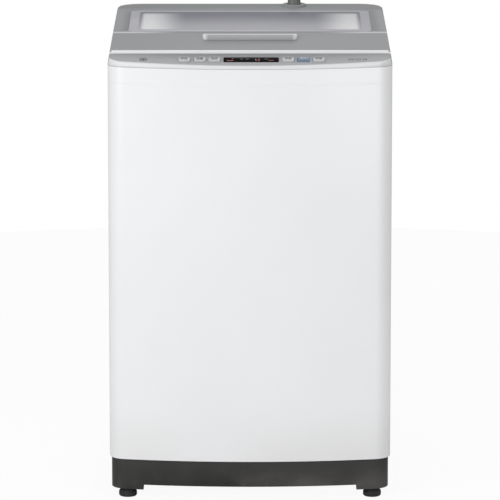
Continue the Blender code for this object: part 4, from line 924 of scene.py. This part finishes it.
window_low, window_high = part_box("lid_window")


def by_window(spot):
    """True for a spot in the window's opening or on its edge."""
    inside_x = abs(spot.x) < window_high.x + WINDOW_EDGE
    return inside_x and window_low.y - WINDOW_EDGE < spot.y < window_high.y + WINDOW_EDGE


rear_flap = copy_node("lid_rear_panel", "rear_flap")
round_outline(rear_flap, FLAP_R, by_window)
rear_silver = silver_plastic("rear_flap_silver", SILVER, fold_glint(1, REAR_GLINT))
hand_over(rear_flap, rear_silver, "lid_rear", ["lid_rear_panel"])

housing = copy_node("rear_housing", "rear_console")
round_outline(housing, FLAP_R)
hand_over(housing, MAKERS["grey_plastic"], "cabinet", ["rear_housing"])
print("rear flap:", made["rear_flap"], "faces, rear hood:", made["rear_console"])

# %% [markdown]
# ## Plates, keys and the display
#
# The small flat parts all start as a rounded plate: a plane whose corners are bevelled and which
# a Solidify modifier makes thick. With an inset it becomes a ring, which serves for bezels.

# %% A rounded plate
def rounded_plate(name, width, depth, radius, thickness, ring=0.0):
    """A plate with round corners that stands on z = 0, or just a rim of a given width."""
    bpy.ops.object.select_all(action="DESELECT")
    bpy.ops.mesh.primitive_plane_add(size=1)
    plate = bpy.context.object
    plate.name = name
    bpy.ops.transform.resize(value=(width, depth, 1))
    settle(plate)
    bpy.ops.object.mode_set(mode="EDIT")
    bpy.ops.mesh.select_all(action="SELECT")
    bpy.ops.mesh.bevel(offset=radius, segments=6, affect="VERTICES")
    if ring:
        bpy.ops.mesh.select_all(action="SELECT")
        bpy.ops.mesh.inset(thickness=ring)
        bpy.ops.mesh.delete(type="FACE")
    bpy.ops.object.mode_set(mode="OBJECT")
    thick = plate.modifiers.new("thickness", "SOLIDIFY")
    thick.thickness = thickness
    thick.offset = 1
    return apply_modifiers(plate)


def surface_frame(point, up):
    """Axes for a sloping surface: X to the right, Y up the slope, Z out of it."""
    right = Vector((1, 0, 0))
    along = up.cross(right)
    turn = Matrix((right, along, up)).transposed().to_4x4()
    return Matrix.Translation(point) @ turn


def put(obj, matrix):
    """Places an object drawn round the origin, with its place in its mesh."""
    obj.matrix_world = matrix
    return settle(obj)


def on_console(x, along=0.0, out=0.0):
    """Axes on the console's face at a place across it, up its slope and out of it."""
    spot = Vector((x, console_mid.y, console_mid.z))
    return surface_frame(spot, console_up) @ Matrix.Translation((0, along, out))


# %% Key caps
KEY_WIDTH = 0.0236
KEY_DEPTH = 0.0196
KEY_CORNER = 0.0045
KEY_SINK = 0.0045
KEY_PROUD = 0.0012
KEY_DOME = ((0.0012, 0.0005), (0.0022, 0.00045), (0.0030, 0.0002))     # insets and lifts


def key_cap(name):
    """A cap with an upright skirt and a low dome, made by insetting and lifting its top."""
    cap = rounded_plate(name, KEY_WIDTH, KEY_DEPTH, KEY_CORNER, KEY_SINK + KEY_PROUD)
    bpy.ops.object.mode_set(mode="EDIT")
    bpy.ops.mesh.select_all(action="SELECT")
    bpy.ops.transform.translate(value=(0, 0, -KEY_SINK))
    choose(cap, "FACE", lambda face: face.normal.z > 0.9)
    for width, lift in KEY_DOME:
        bpy.ops.mesh.inset(thickness=width)
        bpy.ops.transform.translate(value=(0, 0, lift))
    bpy.ops.object.mode_set(mode="OBJECT")
    return soften(cap, 0.0003, 2, 35, 50)


# %% [markdown]
# ## The print on the keys
#
# A printed symbol is a film of ink that stands a little proud of the cap. Plain bars and a dot
# stand for the words on the real keys.

# %% Key marks
MARK_CORNER = 0.0007
INK = 0.0002
MARK_PARTS = (
    # across, along, width, depth
    (-0.0036, 0.0034, 0.0052, 0.0046),
    (0.0036, 0.0034, 0.0052, 0.0046),
    (0.0, 0.0012, 0.0016, 0.0026),
)


def key_mark(name):
    """Two short dark bars and a dot, which stand for the symbols printed on a key."""
    bars = []
    for across, along, width, depth in MARK_PARTS:
        bar = rounded_plate(name, width, depth, MARK_CORNER, INK)
        bars.append(put(bar, Matrix.Translation((across, along, 0))))
    bpy.ops.object.select_all(action="DESELECT")
    for bar in bars:
        bar.select_set(True)
    bpy.context.view_layer.objects.active = bars[0]
    bpy.ops.object.join()
    bars[0].name = name
    return bars[0]


# %% The six keys in their places
key_white = smooth_plastic("key_plastic", (0.56, 0.565, 0.58), 0.4)
key_blue = smooth_plastic("start_key_plastic", (0.14, 0.22, 0.31), 0.4)
ring_silver = smooth_plastic("key_ring_silver", (0.42, 0.43, 0.45), 0.4)
ring_blue = smooth_plastic("start_ring_blue", (0.30, 0.42, 0.55), 0.4)
print_ink = smooth_plastic("printing_ink", (0.045, 0.047, 0.052), 0.5)
START_KEY = 5
MARK_SINK = 0.00005         # how far the ink goes into the cap
MARK_OUT = KEY_PROUD + sum(lift for width, lift in KEY_DOME) - MARK_SINK
BEZEL = {"width": 0.0280, "depth": 0.0300, "radius": 0.0052, "thickness": 0.0005, "ring": 0.0009}
BEZEL_SHIFT = 0.001

for number in range(1, 7):
    low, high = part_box(f"button_{number}")
    x = (low.x + high.x) / 2
    body = BODY_OF[f"button_{number}"]
    is_start = number == START_KEY
    cap = put(key_cap(f"key_cap_{number}"), on_console(x))
    hand_over(cap, key_blue if is_start else key_white, body, [f"button_{number}"])
    mark = put(key_mark(f"key_mark_{number}"), on_console(x, 0, MARK_OUT))
    hand_over(mark, key_white if is_start else print_ink, body)
    bezel = put(rounded_plate(f"key_bezel_{number}", **BEZEL), on_console(x, BEZEL_SHIFT))
    hand_over(bezel, ring_blue if is_start else ring_silver, "cabinet")
print("keys made:", sum(name.startswith("key_cap") for name in made))

# %% [markdown]
# ## The display
#
# A smoked lens hides the lamps until they are lit, so it is nearly black. The lit bars are thin
# plates that glow faintly, because a bright light would wash their colour out.

# %% Display lens
LENS_DEPTH = 0.0256
LENS_CORNER = 0.002
LENS_THICKNESS = 0.0022
LENS_SINK = 0.0018
LENS_PLAY = 0.0006          # how much narrower the lens is than its opening

lens_width = display_high.x - display_low.x - LENS_PLAY
lens_x = (display_low.x + display_high.x) / 2
lens = rounded_plate("display_lens", lens_width, LENS_DEPTH, LENS_CORNER, LENS_THICKNESS)
soften(lens, FINE_R, 3, 35, 50)
put(lens, on_console(lens_x, 0, -LENS_SINK))
hand_over(lens, MAKERS["black_gloss"], "cabinet", ["display_window"])
print("display lens:", [round(v, 4) for v in lens.dimensions])

# %% Lit bars
def glow(name, colour, strength):
    """Plastic that is lit from behind, a little unevenly."""
    lit = Finish(name, (0.02, 0.02, 0.02), Roughness=0.4, Emission_Strength=strength)
    flicker = lit.noise(900.0, 0.0)
    lit.drive("Emission Color", flicker.colours(scaled(colour, 0.7), colour))
    return keep_finish(lit)


red_glow = glow("red_segments", (0.9, 0.05, 0.03), 0.26)
white_glow = glow("white_segments", (0.75, 0.78, 0.85), 0.10)
BAR_CORNER = 0.0006
BAR_THICKNESS = 0.00015
BAR_OUT = 0.0004            # from the console's face, just proud of the lens
LIT_BARS = (
    # tone, across, along, width, depth
    ("red", -0.0415, -0.0055, 0.0130, 0.0030), ("red", -0.0360, 0.0045, 0.0040, 0.0020),
    ("white", -0.0190, 0.0030, 0.0060, 0.0018), ("white", -0.0080, 0.0030, 0.0060, 0.0018),
    ("red", 0.0090, 0.0010, 0.0020, 0.0085), ("red", 0.0155, 0.0010, 0.0020, 0.0085),
    ("red", 0.0125, -0.0050, 0.0080, 0.0018), ("white", 0.0300, 0.0035, 0.0080, 0.0016),
    ("red", 0.0390, -0.0045, 0.0100, 0.0022),
)
for number, (tone, x, along, width, depth) in enumerate(LIT_BARS, start=1):
    bar = rounded_plate(f"display_segment_{number}", width, depth, BAR_CORNER, BAR_THICKNESS)
    put(bar, on_console(lens_x + x, along, BAR_OUT))
    hand_over(bar, red_glow if tone == "red" else white_glow, "cabinet")
print("display segments:", len(LIT_BARS))

# %% [markdown]
# ## Signs at the console's ends
#
# Here too the real marks are printed. A ring with a dot and three small frames stand for them.

# %% Printed signs
SIGN_OUT = 0.00005
SIGN_SHIFT = 0.002
SIGN_INK = 0.00015
SIGNS = (
    # name, across, width, depth, corner, line width
    ("sign_ring", -0.2095, 0.0150, 0.0150, 0.0070, 0.0022),
    ("sign_dot", -0.2095, 0.0062, 0.0062, 0.0030, 0.0),
    ("sign_bar_1", 0.1985, 0.0100, 0.0080, 0.0025, 0.0014),
    ("sign_bar_2", 0.2120, 0.0100, 0.0080, 0.0025, 0.0014),
    ("sign_bar_3", 0.2255, 0.0070, 0.0080, 0.0025, 0.0014),
)
for name, x, width, depth, corner, line in SIGNS:
    sign = rounded_plate(name, width, depth, corner, SIGN_INK, line)
    put(sign, on_console(x, SIGN_SHIFT, SIGN_OUT))
    hand_over(sign, print_ink, "cabinet")
print("signs:", len(SIGNS))

# %% [markdown]
# ## The lid's lip and its pane
#
# The lid's front edge gets a near-white bead with round edges, a painted highlight that is the
# brightest line on the whole top. The pane keeps its packed outline and gets a frosted border and a smoked
# middle.

# %% Lip and pane
LIP_DEPTH = 0.0058
LIP_RISE = 0.0034
LIP_CORNER = 0.0030
LIP_EDGE_R = 0.0018
LIP_END_GAP = 0.006         # from each end of the lip to the flap's side
LIP_SINK = 0.0006
LIP_FRONT_GAP = 0.0008      # from the flap's front edge to the lip

lip_point = Vector((0, edge_spot.y, edge_spot.z))
lip_width = flap_high.x - flap_low.x - 2 * LIP_END_GAP
lip = rounded_plate("lid_lip", lip_width, LIP_DEPTH, LIP_CORNER, LIP_RISE)
soften(lip, LIP_EDGE_R, 5, 40, 60)
lip_shift = (flap_low.y + LIP_FRONT_GAP - lip_point.y) / edge_up.z + LIP_DEPTH / 2
lip_place = Matrix.Translation((0, lip_shift, -LIP_SINK))
put(lip, surface_frame(lip_point, edge_up) @ lip_place)
# The bead's near white is a painted highlight on the flap's rounded front edge.
lip_highlight_white = smooth_plastic("lip_highlight_white", (0.97, 0.975, 0.98), 0.3)
hand_over(lip, lip_highlight_white, "lid_front")

pane = copy_node("lid_window", "lid_pane")
soften(pane, 0.0006)
pane_finish = tinted_pane("smoked_pane", window_low, window_high)
hand_over(pane, pane_finish, "lid_rear", ["lid_window"])
print("lip and pane:", made["lid_lip"], made["lid_pane"])

# %% [markdown]
# ## The handle
#
# The lid is folded by a low hood that opens towards the fold. Its ends are round and its top
# edge is soft, and a painted highlight runs along it in one bright line and over its ends. It is
# a block with bevelled edges, from which the underside and the rear face are taken away before it gets its
# wall.

# %% Handle
handle_low, handle_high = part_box("lid_handle")
HANDLE_DEPTH = 0.018
HANDLE_HEIGHT = 0.0080
HANDLE_END_R = 0.0085
HANDLE_TOP_R = 0.0030
HANDLE_WALL = 0.0022
GAP = 0.0003                # from the flap's face to the hood
PROBE_GAP = 0.02            # the flap's slope is measured this far beside the handle

mid_y = (handle_low.y + handle_high.y) / 2
flap_point, flap_up = drop_on("lid_front_panel", handle_high.x + PROBE_GAP, mid_y)
flap_point.x = 0
bpy.ops.object.select_all(action="DESELECT")
bpy.ops.mesh.primitive_cube_add(size=1)
handle = bpy.context.object
handle.name = "handle_hood"
bpy.ops.transform.resize(value=(handle_high.x - handle_low.x, HANDLE_DEPTH, HANDLE_HEIGHT))
bpy.ops.transform.translate(value=(0, 0, GAP + HANDLE_HEIGHT / 2))
settle(handle)
bpy.ops.object.mode_set(mode="EDIT")


def front_upright(edge):
    """True for the block's two upright edges on the console's side."""
    one, two = (vert.co for vert in edge.verts)
    return abs(one.z - two.z) > HANDLE_HEIGHT / 2 and one.y < 0


choose(handle, "EDGE", front_upright)
bpy.ops.mesh.bevel(offset=HANDLE_END_R, segments=9, affect="EDGES")
top_height = GAP + HANDLE_HEIGHT
choose(handle, "EDGE", lambda edge: all(vert.co.z > top_height - HAIR for vert in edge.verts))
bpy.ops.mesh.bevel(offset=HANDLE_TOP_R, segments=6, affect="EDGES")


def open_side(face):
    """True for the faces below and towards the fold, which a hood doesn't have."""
    at_rear = face.normal.y > 0.99 and middle_of(face).y > HANDLE_DEPTH / 2 - 10 * HAIR
    return face.normal.z < -0.9 or at_rear


choose(handle, "FACE", open_side)
bpy.ops.mesh.delete(type="FACE")
bpy.ops.object.mode_set(mode="OBJECT")
hood = handle.modifiers.new("wall", "SOLIDIFY")
hood.thickness = HANDLE_WALL
hood.offset = -1
soften(handle, FINE_R, 2, 45, 50)
put(handle, surface_frame(flap_point, flap_up))
print("handle:", [round(v, 4) for v in handle.dimensions])

# %% The handle's finish
HANDLE_END_HIGHLIGHT = (0.012, 0.003)      # the painted highlight on the ends fades in between these distances from the tips
HANDLE_TOP_HIGHLIGHT = (0.0105, 0.0080)    # and the one on the top edge between these from the rear


def handle_highlight(shell):
    """Painted highlights: pale round ends and a pale line along the top edge."""
    ends = shell.x.size().ramp(handle_high.x - HANDLE_END_HIGHLIGHT[0], handle_high.x - HANDLE_END_HIGHLIGHT[1])
    edge = shell.y.ramp(handle_high.y - HANDLE_TOP_HIGHLIGHT[0], handle_high.y - HANDLE_TOP_HIGHLIGHT[1])
    return (edge + ends * 0.85).least(1.0)


# The handle's paint is paler than the flap's, as painted light on its face towards the front.
handle_silver = silver_plastic("handle_silver", (0.42, 0.425, 0.43), painted_highlight=handle_highlight)
hand_over(handle, handle_silver, "lid_front", ["lid_handle"])
print("handle's faces:", made["handle_hood"])

# %% [markdown]
# ## The perforated drum
#
# The drum is rolled from drilled sheet, so it is made the same way: one nearly square tile with
# an octagonal hole, an array of tiles for the whole flat sheet, plain bands along its top and
# bottom edges, and a bend through a full turn. Its lower edge is then turned in as a foot, and
# the sheet gets its thickness.

# %% The drum's sizes
DRUM_WALL = 0.001
DRUM_COLUMNS = 60
DRUM_BAND = 0.026           # plain strip above and below the holes
HOLE_SHARE = 0.17           # a hole's radius as a share of its tile
OCTAGON_CUT = 0.586         # cutting a square's corners by this share of its half side
DRUM_FOOT = 0.026           # width of the turned-in foot

drum_low, drum_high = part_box("basket")
drum_r = (drum_high.x - drum_low.x) / 2 - DRUM_WALL / 2
drum_y = (drum_low.y + drum_high.y) / 2
tile_width = 2 * math.pi * drum_r / DRUM_COLUMNS
drilled_height = drum_high.z - drum_low.z - 2 * DRUM_BAND - DRUM_WALL
drum_rows = round(drilled_height / tile_width)
tile_height = drilled_height / drum_rows
print("tile:", round(tile_width, 4), "by", round(tile_height, 4), "rows:", drum_rows)

# %% One drilled tile, repeated
def line_up(obj, count, step):
    """Repeats a tile along a step, with the touching edges merged."""
    row = obj.modifiers.new("repeat", "ARRAY")
    row.count = count
    row.use_relative_offset = False
    row.use_constant_offset = True
    row.constant_offset_displace = step
    row.use_merge_vertices = True
    row.merge_threshold = 0.00005
    return apply_modifiers(obj)


bpy.ops.object.select_all(action="DESELECT")
bpy.ops.mesh.primitive_plane_add(size=1, rotation=(math.pi / 2, 0, 0))
drum = bpy.context.object
drum.name = "drum_wall"
bpy.ops.transform.resize(value=(tile_width, 1, tile_height))
settle(drum)
bpy.ops.object.mode_set(mode="EDIT")
bpy.ops.mesh.select_all(action="SELECT")
bpy.ops.mesh.inset(thickness=tile_width * (0.5 - HOLE_SHARE))
bpy.ops.mesh.bevel(offset=tile_width * HOLE_SHARE * OCTAGON_CUT, affect="VERTICES")
choose(drum, "FACE", lambda face: len(face.verts) == 8)
bpy.ops.mesh.delete(type="FACE")
bpy.ops.object.mode_set(mode="OBJECT")
line_up(drum, DRUM_COLUMNS, (tile_width, 0, 0))
line_up(drum, drum_rows, (0, 0, tile_height))
print("drilled sheet:", len(drum.data.polygons), "faces")

# %% Plain bands above and below
EDGE_REACH = 0.0002         # points this near to an edge are on it

middle_z = drum_low.z + DRUM_WALL / 2 + DRUM_BAND + tile_height / 2
drum.location = (-(DRUM_COLUMNS - 1) / 2 * tile_width, 0, middle_z)
settle(drum)
bpy.ops.object.mode_set(mode="EDIT")
drilled_low = middle_z - tile_height / 2
drilled_top = drilled_low + drilled_height
choose(drum, "VERT", lambda vert: vert.co.z > drilled_top - EDGE_REACH)
pull((0, 0, DRUM_BAND))
choose(drum, "VERT", lambda vert: vert.co.z < drilled_low + EDGE_REACH)
pull((0, 0, -DRUM_BAND))
bpy.ops.object.mode_set(mode="OBJECT")
print("sheet with its bands:", [round(v, 4) for v in drum.dimensions])

# %% Rolled into a drum
roll = drum.modifiers.new("roll", "SIMPLE_DEFORM")
roll.deform_method = "BEND"
roll.deform_axis = "Z"
roll.angle = 2 * math.pi
apply_modifiers(drum)
bpy.ops.object.mode_set(mode="EDIT")
bpy.ops.mesh.select_all(action="SELECT")
bpy.ops.mesh.remove_doubles(threshold=0.0001)
bpy.ops.object.mode_set(mode="OBJECT")
ys = [vert.co.y for vert in drum.data.vertices]
drum.location.y = drum_y - (min(ys) + max(ys)) / 2
settle(drum)
print("rolled to", [round(v, 4) for v in drum.dimensions])

# %% The turned-in foot and the wall's thickness
bpy.ops.object.mode_set(mode="EDIT")
foot_z = drum_low.z + DRUM_WALL / 2
choose(drum, "VERT", lambda vert: vert.co.z < foot_z + EDGE_REACH)
pull((0, 0, 0))
inner_share = 1 - DRUM_FOOT / drum_r
bpy.ops.transform.resize(value=(inner_share, inner_share, 1), center_override=(0, drum_y, foot_z))
bpy.ops.mesh.select_all(action="SELECT")
bpy.ops.mesh.normals_make_consistent(inside=False)
bpy.ops.object.mode_set(mode="OBJECT")
sheet = drum.modifiers.new("sheet", "SOLIDIFY")
sheet.thickness = DRUM_WALL
sheet.offset = 0
apply_modifiers(drum)
bpy.ops.object.shade_smooth_by_angle(angle=math.radians(35))
hand_over(drum, MAKERS["stainless"], "basket", ["basket"])
print("drum:", DRUM_COLUMNS * drum_rows, "holes,", made["drum_wall"], "faces")

# %% [markdown]
# ## The back
#
# The rear sheet is stiffened by pressed ribs and held by pan-head screws down both sides. A rib
# is a rounded plate with a wide round edge. A screw is a short cylinder with a round edge, and a
# thin square plate on its top stands for the driver's recess, as it is only seen from far away.

# %% Ribs
RIB_WIDTH = 0.034
RIB_HEIGHT = 0.50
RIB_RISE = 0.0042
RIB_EDGE_R = 0.0034
RIB_MIDDLE_Z = 0.455
RIB_PLACES = (-0.165, -0.055, 0.055, 0.165)
REAR_SINK = 0.0001          # how far ribs and screws go into the sheet

sheet_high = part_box("rear_panel")[1]
outward = Vector((0, 1, 0))


def on_back(x, z, out=0.0):
    """Axes on the rear sheet, with Z out of it."""
    return surface_frame(Vector((x, sheet_high.y + out, z)), outward)


for number, x in enumerate(RIB_PLACES, start=1):
    rib = rounded_plate(f"rear_rib_{number}", RIB_WIDTH, RIB_HEIGHT, RIB_WIDTH * 0.45, RIB_RISE)
    soften(rib, RIB_EDGE_R, 4, 40, 50)
    put(rib, on_back(x, RIB_MIDDLE_Z, -REAR_SINK))
    hand_over(rib, MAKERS["zinc_steel"], "cabinet")
print("ribs:", len(RIB_PLACES))

# %% Screws
SCREW_R = 0.0050
SCREW_RISE = 0.0030
SCREW_EDGE_R = 0.0009
RECESS_SHARE = 0.42         # the square's half diagonal as a share of the head's radius
RECESS_THICKNESS = 0.0002
SCREW_SIDE = 0.2705
SCREW_HEIGHTS = (0.105, 0.295, 0.485, 0.675, 0.855)


def disc(vertices, radius, depth, z):
    """A short cylinder about the Z axis, with its middle at a height."""
    bpy.ops.object.select_all(action="DESELECT")
    bpy.ops.mesh.primitive_cylinder_add(vertices=vertices, radius=radius, depth=depth, location=(0, 0, z))
    return settle(bpy.context.object)


def pan_screw(name):
    """A head with a round edge and a thin square on its top."""
    head = disc(24, SCREW_R, SCREW_RISE, SCREW_RISE / 2)
    head.name = name
    soften(head, SCREW_EDGE_R, 3, 40, 50)
    disc(4, SCREW_R * RECESS_SHARE, RECESS_THICKNESS, SCREW_RISE)
    head.select_set(True)
    bpy.context.view_layer.objects.active = head
    bpy.ops.object.join()
    return head


screw_spots = [(side * SCREW_SIDE, z) for side in (-1, 1) for z in SCREW_HEIGHTS]
for number, (x, z) in enumerate(screw_spots, start=1):
    head = put(pan_screw(f"rear_screw_{number}"), on_back(x, z, -REAR_SINK))
    hand_over(head, MAKERS["zinc_steel"], "cabinet")
print("screws:", len(screw_spots))

# %% [markdown]
# ## Everything else
#
# The remaining imported pieces already have the right shape. Each gets a copy with its edges
# rounded by a width that suits it, so that light catches them, and the finish of its slot or
# one of its own. The springs and the drain bellows get shorter when the tub sinks; their copies
# get a mesh of their own, but nothing here squashes them.

# %% Edges, finishes and joints of the remaining nodes
EDGE_WIDTHS = {"rear_panel": 0.0003, "base_frame": 0.0015}
OWN_FINISHES = {
    "inlet_valve": smooth_plastic("inlet_grey", (0.13, 0.14, 0.135), 0.45),
    "detergent_drawer": smooth_plastic("drawer_white", (0.78, 0.785, 0.79), 0.36),
    "lint_filter": smooth_plastic("filter_frame", (0.60, 0.63, 0.66), 0.40),
}
CRUMPLING = {}
for joint in frame["record"]["behaviour"]["joints"]:
    for rule in joint.get("deforming_nodes", ()):
        CRUMPLING[rule["node"]] = (joint["name"], rule["fixed_end_z_m"])
print("springs and bellows that shorten:", sorted(CRUMPLING))

# %% Soft-edged copies of the remaining nodes
STANDING_FOR = set()
for piece in list(bpy.data.objects):
    STANDING_FOR.update(piece.get("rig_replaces", []))

for node in sorted(NODES):
    if node in STANDING_FOR:
        continue
    piece = copy_node(node, node + "_soft")
    soften(piece, EDGE_WIDTHS.get(node, FINE_R))
    hand_over(piece, OWN_FINISHES.get(node, MAKERS[SLOT_OF[node]]), BODY_OF[node], [node])
    if node in CRUMPLING:
        low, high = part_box(node)
        joint, fixed_z = CRUMPLING[node]
        keep = 1 - max(abs(value) for value in JOINTS[joint]["range_m"]) / (high.z - low.z)
        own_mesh(piece)
print("soft-edged copies:", sum(name.endswith("_soft") for name in made))

# %% [markdown]
# ## Floor, its finish and a count of the pieces
#
# A floor catches the machine's shadow. It is pale, so that the picture stays white around it.
# It lies half a millimetre under the feet, so that no two faces share a plane.

# %% Floor
FLOOR_GLOW = 0.94           # share of the floor that looks white to the camera whatever its light
FLOOR_R = 2.6
FLOOR_Z = -0.0005

bpy.ops.object.select_all(action="DESELECT")
bpy.ops.mesh.primitive_circle_add(radius=FLOOR_R, vertices=96, fill_type="NGON", location=(0, 0, FLOOR_Z))
floor = bpy.context.object
floor.name = "floor"
pale = Finish("pale_floor", (0.80, 0.80, 0.80), Roughness=0.9, Specular_IOR_Level=0.1)
seen = add_node(pale.tree, "LightPath", output=0)
white = add_node(pale.tree, "Emission", None, {"Color": (1, 1, 1, 1), "Strength": 1.0})
matt = Wire(pale.tree, pale.shader.outputs[0])
mixed = add_node(pale.tree, "MixShader", None, {0: seen * FLOOR_GLOW, 1: matt, 2: white})
pale.tree.links.new(mixed.socket, pale.tree.nodes["Material Output"].inputs["Surface"])
floor.data.materials.append(pale.material)
print("floor radius:", FLOOR_R)

# %% Count the pieces made
print("pieces made:", len(made))
